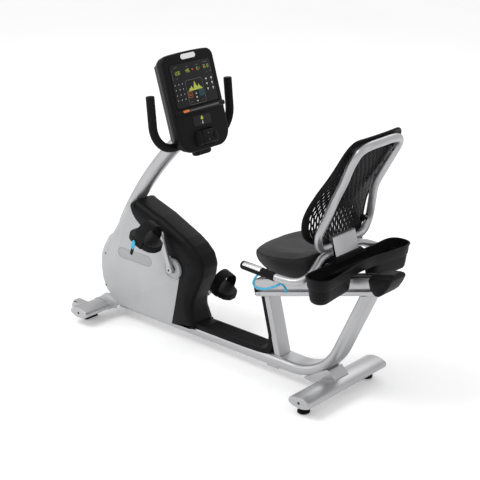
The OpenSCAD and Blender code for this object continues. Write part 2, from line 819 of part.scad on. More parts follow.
front_stabilizer();
rear_stabilizer();
stabilizer_end_caps();
front_pads();
wheel_brackets();
left_wheel();
right_wheel();
left_leveling_foot();
right_leveling_foot();
base_beam();
rear_riser();
rear_saddle();
front_post();
post_cover();
step_cover();
rail_base();
seat_rail();
rail_end_caps();
mast();
drive_plates();
crank_bearings();
left_shroud();
right_shroud();
center_shroud();
crank_covers();
cover_screws();
console_housing();
console_back();
display_panel();
reading_ledge();
console_badge();
handlebar();
handlebar_grips();
generator_housing();
generator_rotor();
jackshaft();
drive_belts();
crank_axle();
drive_pulley();
crank_arms();
left_pedal();
left_pedal_strap();
left_strap_buckle();
right_pedal();
right_pedal_strap();
right_strap_buckle();
seat_carriage();
carriage_glides();
seat_pan();
seat_cushion();
back_bracket();
back_frame();
back_shell();
side_handlebars();
side_grips();
heart_rate_contacts();
accessory_tray();
adjust_lever();
lock_pin();
resistance_paddle();
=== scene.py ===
"""The looks of a recumbent exercise bike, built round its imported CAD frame.

Shapes are worked out in the CAD's own millimetres and become metres as each mesh is made.
The rider faces -X, +Y is the rider's right and +Z is up.
"""

import json
import math

import bmesh
import bpy
import numpy as np
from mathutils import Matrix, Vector
from mathutils.bvhtree import BVHTree


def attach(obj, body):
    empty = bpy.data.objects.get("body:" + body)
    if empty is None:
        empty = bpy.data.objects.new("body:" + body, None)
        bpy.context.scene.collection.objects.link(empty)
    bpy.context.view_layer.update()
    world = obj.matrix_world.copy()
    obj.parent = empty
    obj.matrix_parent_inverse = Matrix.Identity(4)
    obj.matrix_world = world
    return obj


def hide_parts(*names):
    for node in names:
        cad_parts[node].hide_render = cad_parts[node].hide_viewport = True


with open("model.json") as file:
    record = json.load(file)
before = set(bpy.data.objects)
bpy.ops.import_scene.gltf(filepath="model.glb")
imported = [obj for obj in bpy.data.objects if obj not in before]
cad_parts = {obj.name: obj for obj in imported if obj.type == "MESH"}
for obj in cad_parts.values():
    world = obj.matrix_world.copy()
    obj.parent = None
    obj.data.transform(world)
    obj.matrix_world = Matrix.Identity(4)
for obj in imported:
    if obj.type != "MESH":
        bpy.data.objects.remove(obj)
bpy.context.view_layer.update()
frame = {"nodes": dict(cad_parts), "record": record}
MM = 0.001
SIDES = ((-1, "left"), (1, "right"))

# ---- places shared with the CAD, in millimetres ----

RAIL_ANGLE = math.radians(15.9)
RAIL_X, RAIL_Z, RAIL_LEN = 180, 355, 676
POST_LEAN, POST_X, POST_Z = 13.9, 296, 92
CONSOLE_LEAN = math.radians(16.9)
CONSOLE_X, CONSOLE_Z, CONSOLE_HALF = -204, 1146, 157
BEAM_Z, BEND_X, BEND_R, RISER_ANGLE = 73, 379, 270, 65
FOOT_W, FOOT_H, FOOT_Z, FOOT_CROWN = 112, 50, 66, 110
REAR_FOOT, FRONT_FOOT = (608, 271), (-772, 262)
MAST_CENTRE, MAST_BEND, MAST_R = (913, -390), 1830, 35
CRANK_X, CRANK_Z, CRANK_R, CRANK_ANGLE = -305, 366, 170, 108
ARM_Y, PEDAL_Y, PEDAL_HALF, PEDAL_TILT, TREAD_TOP = 98, 193, 57, math.radians(20), 14
WHEEL_X, WHEEL_Y, WHEEL_Z, WHEEL_R = -859, 190, 60, 27
COVER_HALF = 75
CUSHION_HALF = 215
TRAY_Z = 653
LOOP_R, SIDE_BAR_R, LEVER_R, HOOK_R, TRAY_RIM_R, WELT_R = 17.5, 15.9, 5.2, 4.8, 3.4, 1.3


# ---- places: from a piece's own axes to the bike's ----

def across(u, v, w):
    """A profile drawn in X and Z, with w across the machine."""
    return (u, w, v)


def flat(u, v, w):
    """A plan drawn in X and Y, with w up."""
    return (u, v, w)


def on_rail(s, y, n):
    """s runs up the seat rail and n stands off its underside."""
    c, d = math.cos(RAIL_ANGLE), math.sin(RAIL_ANGLE)
    return (RAIL_X + s * c - n * d, y, RAIL_Z + s * d + n * c)


def on_console(y, b, a):
    """y is across the console, b up its face and a out of it."""
    c, d = math.cos(CONSOLE_LEAN), math.sin(CONSOLE_LEAN)
    return (CONSOLE_X + a * c - b * d, y, CONSOLE_Z + a * d + b * c)


def on_post(u, v, w):
    """u is to the rear of the front post's axis, v across and w up it."""
    c, d = math.cos(math.radians(POST_LEAN)), math.sin(math.radians(POST_LEAN))
    return (POST_X + u * c - w * d, v, POST_Z + u * d + w * c)


def at_pedal(side):
    turn = math.radians(CRANK_ANGLE + (0 if side < 0 else 180))
    x, z = CRANK_X + CRANK_R * math.cos(turn), CRANK_Z + CRANK_R * math.sin(turn)
    c, d = math.cos(PEDAL_TILT), math.sin(PEDAL_TILT)
    return lambda u, v, w: (x + u * c + w * d, side * (PEDAL_Y + v), z - u * d + w * c)


def along_rail(u, v, w):
    """A section drawn across the rail, with w up its length."""
    return on_rail(w, u, v)


def outwards(side):
    """A turned part's place when its axis runs out to one side."""
    return lambda u, v, w: (u, side * w, v)


def edgewise(place):
    """The same place for an outline drawn in u and w, with its thickness along v."""
    return lambda u, v, w: place(u, w, v)


def to_rail(points, way):
    """The points slid along a direction until they meet the rail's underside."""
    normal = np.array([-math.sin(RAIL_ANGLE), 0, math.cos(RAIL_ANGLE)])
    base = np.array(on_rail(0, 0, 0))
    return [tuple(np.array(q) + way * ((base - np.array(q)) @ normal / (way @ normal)))
            for q in points]


# ---- outlines ----

def rounded(corners, radii, steps=5):
    """A closed outline whose corners are rounded off."""
    points = np.array(corners, float)
    radii = [radii] * len(points) if np.isscalar(radii) else radii
    out = []
    for i, (p, r) in enumerate(zip(points, radii)):
        a, b = points[i - 1] - p, points[(i + 1) % len(points)] - p
        la, lb = np.linalg.norm(a), np.linalg.norm(b)
        u, w = a / la, b / lb
        half = math.acos(np.clip(u @ w, -1, 1)) / 2
        if r <= 0 or half > math.radians(88):
            out.append(tuple(p))
            continue
        reach = min(r / math.tan(half), 0.49 * la, 0.49 * lb)
        centre = p + (u + w) / np.linalg.norm(u + w) * reach / math.cos(half)
        first, last = p + u * reach - centre, p + w * reach - centre
        start, end = math.atan2(first[1], first[0]), math.atan2(last[1], last[0])
        sweep = (end - start + math.pi) % (2 * math.pi) - math.pi
        size = np.linalg.norm(first)
        for k in range(steps + 1):
            t = start + sweep * k / steps
            out.append((centre[0] + size * math.cos(t), centre[1] + size * math.sin(t)))
    return out


def box(w, h, r, centre=(0, 0), steps=5):
    x, y = centre
    corners = [(x - w / 2, y - h / 2), (x + w / 2, y - h / 2), (x + w / 2, y + h / 2),
               (x - w / 2, y + h / 2)]
    return rounded(corners, r, steps)


def circle(r, centre=(0, 0), sides=48):
    turns = [2 * math.pi * k / sides for k in range(sides)]
    return [(centre[0] + r * math.cos(t), centre[1] + r * math.sin(t)) for t in turns]


def curve(points, steps, closed=False):
    """Points on a smooth curve through the given ones."""
    p = np.array(points, float)
    n = len(p)
    out = []
    for i in range(n if closed else n - 1):
        a, b, c, d = (p[(i + k) % n] if closed else p[min(max(i + k, 0), n - 1)]
                      for k in (-1, 0, 1, 2))
        for s in range(steps):
            t = s / steps
            out.append(0.5 * (2 * b + (c - a) * t + (2 * a - 5 * b + 4 * c - d) * t * t
                              + (3 * b - a - 3 * c + d) * t ** 3))
    return out if closed else out + [p[-1]]


def mirrored(half):
    """A half path from the middle plane outwards, or the reverse, made whole."""
    return list(half) + [(x, -y, z) for x, y, z in reversed(half) if y != 0]


def inset(outline, depth):
    """The outline drawn in, by one depth or by one for each point."""
    p = np.array(outline, float)
    area = np.sum(p[:, 0] * np.roll(p[:, 1], -1) - np.roll(p[:, 0], -1) * p[:, 1])
    e = np.roll(p, -1, 0) - p
    e /= np.maximum(np.linalg.norm(e, axis=1), 1e-9)[:, None]
    n = np.stack([-e[:, 1], e[:, 0]], 1) * np.sign(area)
    m = n + np.roll(n, 1, 0)
    m /= np.maximum(np.linalg.norm(m, axis=1), 1e-9)[:, None]
    stretch = np.clip((m * n).sum(1), 0.6, 1)
    return [tuple(q) for q in p + m * (np.broadcast_to(depth, len(p)) / stretch)[:, None]]


def lens(w, h, crown, sides=48):
    """The stabilisers' section: round ends cut by two large arcs."""
    out = []
    for k in range(sides):
        t = 2 * math.pi * k / sides
        u = w / 2 * math.cos(t)
        end = max(0, abs(u) - (w - h) / 2)
        v = min(math.sqrt(crown ** 2 - u ** 2) - crown + h / 2,
                math.sqrt(max(0, (h / 2) ** 2 - end ** 2)))
        out.append((u, v if math.sin(t) >= 0 else -v))
    return out


def stadium(w, h, steps=12):
    """A flat bar's outline with fully round ends."""
    return box(w, h, h / 2 - 0.01, steps=steps)


# ---- solids: each is a pair of corner points and faces ----

def loft(rings, loop=False):
    """Joins closed rings of the same number of points."""
    n = len(rings[0])
    verts = [tuple(p) for ring in rings for p in ring]
    faces = []
    for i in range(len(rings) if loop else len(rings) - 1):
        j = (i + 1) % len(rings)
        faces += [(i * n + k, i * n + (k + 1) % n, j * n + (k + 1) % n, j * n + k)
                  for k in range(n)]
    if not loop:
        faces.append(tuple(reversed(range(n))))
        faces.append(tuple(range((len(rings) - 1) * n, len(rings) * n)))
    return verts, faces


def stack(outline, layers, place=flat):
    """Joins copies of an outline, each at its own height and drawn in by its own depth."""
    return loft([[place(u, v, w) for u, v in inset(outline, d)] for w, d in layers])


def prism(outline, place, low, high, edge=0.0, edge_low=None, steps=4):
    """A flat outline given thickness, with its rims rounded by edge."""
    edge_low = edge if edge_low is None else edge_low
    turns = [math.pi / 2 * k / steps for k in range(steps + 1)]
    layers = [(low, 0.0)]
    if edge_low:
        layers = [(low + edge_low * (1 - math.cos(t)), edge_low * (1 - math.sin(t)))
                  for t in turns]
    if edge:
        layers += [(high - edge * (1 - math.sin(t)), edge * (1 - math.cos(t))) for t in turns]
    else:
        layers.append((high, 0.0))
    return stack(outline, layers, place)


def slab(outline, side, near, far, edge=0.0, inner_edge=None, steps=4):
    """A thickness on one side of the machine, between two distances from its middle."""
    inner_edge = edge if inner_edge is None else inner_edge
    low, high = sorted((side * near, side * far))
    edges = (edge, inner_edge) if side > 0 else (inner_edge, edge)
    return prism(outline, across, low, high, *edges, steps)


def lathe(profile, place, centre=(0, 0), sides=40, wave=0.0, waves=0):
    """Turns (radius, height) pairs about an axis; wave scallops the rim."""
    rings = []
    for r, h in profile:
        ring = []
        for k in range(sides):
            t = 2 * math.pi * k / sides
            q = max(r, 0.01) * (1 + wave * math.cos(waves * t))
            ring.append(place(centre[0] + q * math.cos(t), centre[1] + q * math.sin(t), h))
        rings.append(ring)
    return loft(rings)


def tube(path, radius, sides=20, closed=False, dome=0.0):
    """A round tube along a path of points. dome rounds its ends off."""
    p = [Vector(q) for q in path]
    n = len(p)
    ways = []
    for i in range(n):
        a = p[(i - 1) % n] if closed else p[max(i - 1, 0)]
        b = p[(i + 1) % n] if closed else p[min(i + 1, n - 1)]
        ways.append((b - a).normalized())
    side = ways[0].orthogonal().normalized()
    radii = [radius] * n if np.isscalar(radius) else list(radius)
    frames = []
    for i, way in enumerate(ways):
        side = (side - way * side.dot(way)).normalized()
        frames.append((side.copy(), way.cross(side)))
    twist = 0.0
    if closed:
        back = (side - ways[0] * side.dot(ways[0])).normalized()
        first, second = frames[0]
        twist = math.atan2(back.dot(second), back.dot(first))
    rings = []
    for i in range(n):
        u, v = frames[i]
        turn = -twist * i / n
        rings.append([p[i] + radii[i] * (u * math.cos(t) + v * math.sin(t))
                      for t in (2 * math.pi * k / sides + turn for k in range(sides))])
    if dome and not closed:
        for end, way in ((0, -ways[0]), (-1, ways[-1])):
            ring = rings[end]
            middle = p[end]
            extra = [[middle + (q - middle) * (1 - dome / radii[end] * (1 - math.cos(t)))
                      + way * dome * math.sin(t) for q in ring]
                     for t in (math.pi / 2 * k / 5 for k in range(1, 6))]
            rings = list(reversed(extra)) + rings if end == 0 else rings + extra
    return loft(rings, loop=closed)


def both(*shapes):
    """Several solids in one mesh."""
    verts, faces = [], []
    for v, f in shapes:
        faces += [tuple(i + len(verts) for i in face) for face in f]
        verts += v
    return verts, faces


def pair(make):
    """The left and the right one of a part, in one mesh."""
    return both(make(-1), make(1))


def arc(centre, r, start, end, steps):
    turns = [math.radians(start + (end - start) * k / steps) for k in range(steps + 1)]
    return [(centre[0] + r * math.cos(t), centre[1] + r * math.sin(t)) for t in turns]


def mast_line(start, end, steps):
    """The mast's curved middle line, between two angles about the bend's centre."""
    return [(x, 0, z) for x, z in arc(MAST_CENTRE, MAST_BEND, start, end, steps)]


def smooth(values, times):
    """Evens out the values round a closed line."""
    for _ in range(times):
        values = (np.roll(values, 1, 0) + 2 * values + np.roll(values, -1, 0)) / 4
    return values


# ---- meshes ----

def new_object(name, shape):
    mesh = bpy.data.meshes.new(name)
    mesh.from_pydata([Vector(v) * MM for v in shape[0]], [], shape[1])
    work = bmesh.new()
    work.from_mesh(mesh)
    bmesh.ops.remove_doubles(work, verts=work.verts, dist=2e-6)
    bmesh.ops.recalc_face_normals(work, faces=work.faces)
    work.to_mesh(mesh)
    work.free()
    obj = bpy.data.objects.new(name, mesh)
    bpy.context.scene.collection.objects.link(obj)
    return obj


def bake(obj):
    """Applies the object's modifiers."""
    bpy.context.view_layer.update()
    graph = bpy.context.evaluated_depsgraph_get()
    mesh = bpy.data.meshes.new_from_object(obj.evaluated_get(graph))
    obj.modifiers.clear()
    obj.data = mesh


def boolean(obj, shape, operation):
    tool = new_object("tool", shape)
    step = obj.modifiers.new("cut", "BOOLEAN")
    step.operation, step.solver, step.object = operation, "MANIFOLD", tool
    bake(obj)
    bpy.data.objects.remove(tool)


def piece(name, shape, look, body, nodes=(), bevel=0.0, crisp=35, cuts=(),
          unions=()):
    """Makes one visible piece and hides the CAD nodes it stands for."""
    obj = new_object(name, shape)
    for tool in unions:
        boolean(obj, tool, "UNION")
    for tool in cuts:
        boolean(obj, tool, "DIFFERENCE")
    if bevel:
        step = obj.modifiers.new("bevel", "BEVEL")
        step.width, step.segments = bevel * MM, 3
        step.limit_method, step.angle_limit = "ANGLE", math.radians(30)
        bake(obj)
    dress(obj, look, crisp)
    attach(obj, body)
    if nodes:
        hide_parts(*nodes)
    return obj


def dress(obj, look, crisp=35):
    mesh = obj.data
    mesh.materials.clear()
    mesh.materials.append(look)
    mesh.polygons.foreach_set("material_index", [0] * len(mesh.polygons))
    mesh.polygons.foreach_set("use_smooth", [True] * len(mesh.polygons))
    mesh.set_sharp_from_angle(angle=math.radians(crisp))


# ---- finishes ----

COAT_ROUGH, GLOSS_SPREAD = 0.08, 0.05
DRIFT_STOPS = (0.3, 0.7)


def fill(node, **inputs):
    """Sets inputs of a shader node; an underscore stands for a space in a name."""
    for name, value in inputs.items():
        node.inputs[name.replace("_", " ")].default_value = value


def add(look, kind, **inputs):
    node = look.node_tree.nodes.new("ShaderNode" + kind)
    fill(node, **inputs)
    return node


def finish(name, colour, rough, metal=0.0, coat=0.0, patch=6.0, spread=0.05, grain=900.0,
           bump=0.05, depth=0.0002, fleck=0.0, glow=0.0, stretch=(1, 1, 1), shine=0.5):
    """A paint, plastic or metal: slow colour drift, a fine grain and uneven gloss."""
    look = bpy.data.materials.new(name)
    look.use_nodes = True
    join = look.node_tree.links.new
    shader = look.node_tree.nodes["Principled BSDF"]
    fill(shader, Metallic=metal, Coat_Weight=coat, Coat_Roughness=COAT_ROUGH,
         Specular_IOR_Level=shine)
    place = add(look, "TexCoord")
    scale = add(look, "Mapping", Scale=stretch)
    join(place.outputs["Object"], scale.inputs["Vector"])
    drift = add(look, "TexNoise", Scale=patch, Detail=4)
    fine = add(look, "TexNoise", Scale=grain, Detail=2)
    for texture in (drift, fine):
        join(scale.outputs["Vector"], texture.inputs["Vector"])
    ramp = add(look, "ValToRGB")
    stops = ramp.color_ramp.elements
    for stop, position, factor in zip(stops, DRIFT_STOPS, (1 - spread, 1 + spread)):
        stop.color = (*(min(1, c * factor) for c in colour), 1)
        stop.position = position
    join(drift.outputs["Fac"], ramp.inputs["Fac"])
    join(ramp.outputs["Color"], shader.inputs["Base Color"])
    if fleck:
        mix = add(look, "Mix")
        mix.data_type, mix.blend_type = "RGBA", "OVERLAY"
        fill(mix, Factor=fleck)
        join(ramp.outputs["Color"], mix.inputs["A"])
        join(fine.outputs["Fac"], mix.inputs["B"])
        join(mix.outputs["Result"], shader.inputs["Base Color"])
    gloss = add(look, "MapRange", To_Min=rough - GLOSS_SPREAD, To_Max=rough + GLOSS_SPREAD)
    join(drift.outputs["Fac"], gloss.inputs["Value"])
    join(gloss.outputs["Result"], shader.inputs["Roughness"])
    relief = add(look, "Bump", Strength=bump, Distance=depth)
    join(fine.outputs["Fac"], relief.inputs["Height"])
    join(relief.outputs["Normal"], shader.inputs["Normal"])
    if glow:
        join(ramp.outputs["Color"], shader.inputs["Emission Color"])
        fill(shader, Emission_Strength=glow)
    return look


SILVER = finish("silver_paint", (0.42, 0.42, 0.43), 0.33, metal=0.82, fleck=0.12, grain=1600,
                bump=0.06)
GREY = finish("grey_casing", (0.395, 0.40, 0.405), 0.46, metal=0.15, fleck=0.06, grain=1400)
BADGE = finish("badge_grey", (0.32, 0.325, 0.33), 0.5, metal=0.15, fleck=0.06, grain=1400)
BLACK = finish("black_plastic", (0.005, 0.005, 0.0055), 0.48, grain=1100, bump=0.22,
               spread=0.12, shine=0.10)
BLACK_COVER = finish("black_cover", (0.0045, 0.0045, 0.005), 0.44, grain=1500, bump=0.12,
                     spread=0.10, shine=0.10)
BLACK_DEEP = finish("black_recess", (0.008, 0.008, 0.008), 0.6, grain=800, bump=0.2, spread=0.2)
GLOSS = finish("gloss_black", (0.004, 0.004, 0.005), 0.24, shine=0.2, coat=0.08, spread=0.2,
               grain=600, bump=0.01)
RUBBER = finish("rubber_black", (0.005, 0.005, 0.005), 0.62, grain=700, bump=0.35,
                spread=0.15, shine=0.12)
TREAD = finish("pedal_tread", (0.018, 0.018, 0.019), 0.45, grain=700, bump=0.3, spread=0.15)
FOAM = finish("foam_grip", (0.005, 0.005, 0.0055), 0.72, grain=1200, bump=0.5, depth=0.0003,
              spread=0.15, shine=0.12)
CYAN = finish("cyan_plastic", (0.022, 0.38, 0.60), 0.34, coat=0.15, grain=900, spread=0.06)
RAIL = finish("rail_aluminium", (0.42, 0.42, 0.43), 0.38, metal=0.85, stretch=(0.08, 1, 1),
              grain=1500, bump=0.2, patch=9)
DARK_METAL = finish("dark_metal", (0.10, 0.10, 0.105), 0.42, metal=0.7, spread=0.15)
SCREW_BLACK = finish("blackened_steel", (0.012, 0.012, 0.013), 0.5, metal=0.4, spread=0.15)
STEEL = finish("steel", (0.45, 0.45, 0.46), 0.28, metal=1.0, spread=0.08, grain=1300)
WHITE = finish("white_plastic", (0.78, 0.78, 0.77), 0.42, spread=0.03)
CONTACT = finish("contact_silver", (0.66, 0.66, 0.67), 0.24, metal=0.9, grain=1800, spread=0.04)
OLIVE = finish("lit_segments", (0.30, 0.34, 0.035), 0.4, glow=0.35, spread=0.1, patch=60)
PRINT_WHITE = finish("printed_white", (0.62, 0.62, 0.62), 0.5, spread=0.08, patch=90)
PRINT_GREY = finish("printed_grey", (0.16, 0.16, 0.165), 0.5, spread=0.1, patch=90)
ORANGE = finish("orange_print", (0.72, 0.17, 0.02), 0.45, spread=0.08, patch=80)
TEAL = finish("teal_print", (0.03, 0.22, 0.28), 0.45, spread=0.08, patch=80)
RED = finish("red_lamp", (0.7, 0.03, 0.02), 0.4, glow=0.6, spread=0.05, patch=80)
FLOOR = finish("studio_floor", (0.93, 0.93, 0.93), 0.85, patch=0.8, spread=0.012, bump=0.02,
               glow=0.16)

# ---- base: stabilisers, feet and transport wheels ----

def stabiliser(name, x, half, node):
    """Makes one cross tube, and returns its two end caps and the screws in them."""
    section = [(x + u, FOOT_Z + v) for u, v in lens(FOOT_W, FOOT_H, FOOT_CROWN)]
    piece(name, prism(section, across, -half + 6.6, half - 6.6, 0.8), SILVER, "frame",
          [node])
    caps, heads = [], []
    for side in (-1, 1):
        caps.append(slab(section, side, half - 6, half, 3.0, 0.0))
        neck = [(x + u, FOOT_Z + v) for u, v in lens(FOOT_W - 3, FOOT_H - 3, FOOT_CROWN)]
        caps.append(prism(neck, across, side * (half - 8), side * (half - 5)))
        heads.append(lathe([(0, half - 2), (6.4, half - 2), (6.4, half + 0.3), (5.6, half + 0.8),
                            (2.6, half + 0.8), (2.2, half + 0.2), (0, half + 0.2)],
                           outwards(side), (x, FOOT_Z), 24))
    return caps, heads


rear_caps, rear_heads = stabiliser("rear_stabiliser_tube", *REAR_FOOT, "rear_stabilizer")
front_caps, front_heads = stabiliser("front_stabiliser_tube", *FRONT_FOOT, "front_stabilizer")
piece("stabiliser_caps", both(*rear_caps, *front_caps), SILVER, "frame",
      ["stabilizer_end_caps"])
piece("stabiliser_cap_screws", both(*rear_heads, *front_heads), BLACK_DEEP, "frame")


def levelling_foot(side):
    profile = [(0, 0), (21, 0), (24, 1.5), (27, 4), (27, 10), (25, 12.5), (19, 14), (17, 15),
               (17, 22), (15.5, 24), (7, 24.5), (6, 26), (6, 48), (0, 48)]
    centre = (REAR_FOOT[0] - 13, side * 220)
    return lathe(profile, flat, centre, sides=64, wave=0.03, waves=16)


for side, word in SIDES:
    piece(f"{word}_levelling_foot", levelling_foot(side), RUBBER, f"{word}_foot_body",
          [f"{word}_leveling_foot"])

PAD_X, PAD_Y = FRONT_FOOT[0] - 34, 155


def front_pad(side):
    """A long rubber foot under the stabiliser, on a block that narrows upwards."""
    levels = [(0, 1.6), (1.2, 0.4), (3, 0), (10, 0), (12, 1.0), (14, 4), (47, 5)]
    plan = box(26, 78, 8, (PAD_X, side * PAD_Y))
    return stack(plan, levels)


piece("front_floor_pads", pair(front_pad), RUBBER, "frame",
      ["front_pads"])

for side, word in SIDES:
    y = side * WHEEL_Y
    tread = [(9, -13), (WHEEL_R - 5, -13), (WHEEL_R - 1.5, -11), (WHEEL_R, -7), (WHEEL_R, 7),
             (WHEEL_R - 1.5, 11), (WHEEL_R - 5, 13), (9, 13), (7, 9), (7, -9)]
    turned = lathe([(r, y + h) for r, h in tread + tread[:1]], across, (WHEEL_X, WHEEL_Z), 48)
    turned = (turned[0], turned[1][:-2])
    piece(f"{word}_transport_wheel", turned, RUBBER, f"{word}_wheel_body",
          [f"{word}_wheel"])


def wheel_guard(side):
    """A rounded hood over the top of the wheel between two plates; its rim shows in front."""
    centre = (WHEEL_X, WHEEL_Z)
    outer = arc(centre, WHEEL_R + 4, 114, 90, 8) + [(-790, 89), (-790, 80)]
    inner = [(-818, 86)] + arc(centre, WHEEL_R + 1.2, 90, 114, 8)
    hood = slab(outer + inner, side, WHEEL_Y - 19, WHEEL_Y + 19, 0.6)
    plate = arc(centre, WHEEL_R - 5, 270, 95, 20) + [(-790, 88), (-790, 52)]
    sides = [slab(plate, side, WHEEL_Y + inner, WHEEL_Y + inner + 4, 0.8) for inner in (-19, 15)]
    return both(hood, *sides)


def wheel_pin(side):
    return lathe([(0, WHEEL_Y - 22), (6, WHEEL_Y - 22), (6, WHEEL_Y + 17), (8, WHEEL_Y + 17),
                  (7.5, WHEEL_Y + 21), (3, WHEEL_Y + 21.5), (0, WHEEL_Y + 20)],
                 outwards(side), (WHEEL_X, WHEEL_Z), 24)


piece("wheel_guards", pair(wheel_guard), SILVER, "frame",
      ["wheel_brackets"], bevel=0.7)
piece("wheel_pins", pair(wheel_pin), STEEL, "frame")

# ---- frame: spine, post, step and rail ----

def spine():
    """One flat-oval tube: straight along the floor, then bent up to the seat rail."""
    path = [(-700 + (BEND_X + 700) * k / 8, BEAM_Z, 0.0) for k in range(9)]
    for k in range(1, 19):
        t = math.radians(RISER_ANGLE * k / 18)
        path.append((BEND_X + BEND_R * math.sin(t), BEAM_Z + BEND_R * (1 - math.cos(t)), t))
    rings = []
    for x, z, t in path:
        share = min(1.0, t / math.radians(40))
        w, h = 120 - 14 * share, 54 - 8 * share
        rings.append([(x - v * math.sin(t), u, z + v * math.cos(t))
                      for u, v in stadium(w, h, 10)])
    way = np.array([math.cos(t), 0, math.sin(t)])
    rings.append(to_rail(rings[-1], way))
    return loft(rings)


piece("spine", spine(), SILVER, "frame", ["base_beam", "rear_riser"], crisp=60)

saddle = rounded([(447, 48), (503, 41), (545, 62), (560, 82), (619, 85), (626, 92), (590, 124),
                  (574, 126), (545, 108), (500, 80)], [3, 3, 20, 6, 3, 3, 4, 4, 30, 30], 4)
piece("riser_saddle", prism(saddle, across, -47, 47, 1.6), SILVER, "frame",
      ["rear_saddle"])
weld = tube([(566, -46, 116), (590, -47.5, 124), (590, 47.5, 124), (566, 46, 116)], 1.8, 10)
piece("saddle_weld", weld, SILVER, "frame")


def post():
    section = box(33, 75, 4)
    low = [on_post(u, v, -2) for u, v in section]
    way = np.array(on_post(0, 0, 1)) - np.array(on_post(0, 0, 0))
    return loft([low, to_rail(low, way)])


foot_plate = prism(box(64, 84, 5, (298, 0)), flat, 96, 101, 1)
under_plate = prism(box(70, 40, 6, (268, -22)), flat, 38, 47, 2)
piece("front_post_tube", both(post(), foot_plate), SILVER, "frame",
      ["front_post"])
piece("beam_plate", under_plate, SILVER, "frame")


def post_and_step_cover():
    """One black moulding: a step along the beam that sweeps up the front of the post."""
    top, bend, turns = 94, 44, 8
    path = [(-192, top, 0.0, 108, 40), (-100, top, 0.0, 108, 40), (0, top, 0.0, 108, 40),
            (120, top, 0.0, 107, 40), (190, top, 0.0, 104, 40)]
    lean = math.radians(90 + POST_LEAN)
    for k in range(1, turns + 1):
        t = lean * k / turns
        path.append((208 + bend * math.sin(t), top + bend * (1 - math.cos(t)), t,
                     104 - 26 * k / turns, 40 - 12 * k / turns))
    for k in range(1, 9):
        q = on_post(-20.5, 0, 70 + 30 * k)
        path.append((q[0], q[2], lean, 78, 28))
    rings = []
    for x, z, t, w, h in path:
        rings.append([(x - v * math.sin(t), u, z + v * math.cos(t))
                      for u, v in box(w, h, min(9, h / 3), steps=4)])
    rings[-1] = to_rail(rings[-2], np.array([math.cos(lean), 0, math.sin(lean)]))
    return loft(rings)


piece("post_and_step_cover", post_and_step_cover(), BLACK_COVER, "frame",
      ["post_cover", "step_cover"], crisp=50)
ribs = [prism(box(330, 3.0, 1.4, (30, y), 3), flat, 113, 115.6, 1.2, 0) for y in range(-36, 37, 8)]
piece("step_ribs", both(*ribs), BLACK, "frame")

rail_base = prism(box(100, 20, 2.5, (0, 10), 3), along_rail, 0, RAIL_LEN, 0.8)
piece("rail_base_band", rail_base, SILVER, "frame", ["rail_base"])


def rail_section():
    half = [(34, 20), (34, 28), (43.6, 29.5), (45, 40), (45.2, 51), (45, 62), (43.6, 71.5),
            (42, 73), (30, 73), (29, 71.4), (12, 71.4), (11, 73), (8, 73), (8, 60)]
    return [(y, n) for y, n in half] + [(-y, n) for y, n in reversed(half)]


piece("rail_extrusion", prism(rail_section(), along_rail, 0, RAIL_LEN, 0),
      RAIL, "frame", ["seat_rail"], bevel=0.5)
strips = [prism(box(17, 1.2, 0.5, (s * 20.5, 71.9), 3), along_rail, 2, RAIL_LEN - 2)
          for s in (-1, 1)]
piece("rail_wear_strips", both(*strips), BLACK, "frame")


def bolt(place, centre, height, r=6.0, socket=3.0):
    """A button-head bolt with a socket, standing on height."""
    return lathe([(r, height - 0.5), (r, height + 1), (r * 0.85, height + 2.6),
                  (socket * 1.1, height + 3.2), (socket, height + 1.2), (0, height + 1.0)],
                 place, centre, 24)


bolts = [bolt(lambda u, v, w: on_rail(u, v, -w), (s, y), 0, 5.5)
         for s in (52, 108, 590, 646) for y in (-40, 40)]
side_bolts = [bolt(lambda u, v, w, q=q: on_rail(u, q * w, v), (s, 10), 50, 3.2, 1.6)
              for s in (20, 655) for q in (-1, 1)]
piece("rail_bolts", both(*bolts, *side_bolts), STEEL, "frame")

CAP_FROM, CAP_TO = 664, 758


def rear_rail_cap():
    """A moulded end cap: arched top, drawn-in sides and a raised brow."""
    stations = [(CAP_FROM - 22, 50, 24, 80), (CAP_FROM, 55, 0, 86), (CAP_FROM + 18, 56, -3, 87),
                (CAP_FROM + 45, 55, 10, 86), (CAP_FROM + 72, 53, 34, 84), (CAP_TO - 4, 51, 54, 82),
                (CAP_TO, 48, 60, 78)]
    rings = []
    for s, half, low, high in stations:
        ring = rounded([(-half, low), (half, low), (half, high - 12), (half - 22, high),
                        (-half + 22, high), (-half, high - 12)], [4, 4, 12, 20, 20, 12], 4)
        rings.append([on_rail(s, y, n) for y, n in ring])
    return loft(rings)


brow = prism(rounded([(CAP_FROM + 6, 30), (CAP_FROM + 50, 38), (CAP_FROM + 78, 56),
                      (CAP_FROM + 74, 68), (CAP_FROM + 30, 60), (CAP_FROM + 4, 56)], 6, 4),
             edgewise(on_rail), -57.2, 57.2, 2.0)
piece("rail_rear_cap", rear_rail_cap(), BLACK, "frame", ["rail_end_caps"],
      bevel=1.0, crisp=40)
piece("rail_cap_panel", brow, BLACK_COVER, "frame")
front_cap = prism(box(94, 72, 6, (0, 38)), along_rail, -8, 0, 0, 3)
piece("rail_front_cap", front_cap, BLACK, "frame")

# ---- mast ----

piece("console_mast", tube(mast_line(129.8, 151.5, 40), MAST_R, 56), SILVER, "frame",
      ["mast"])

# ---- covers ----

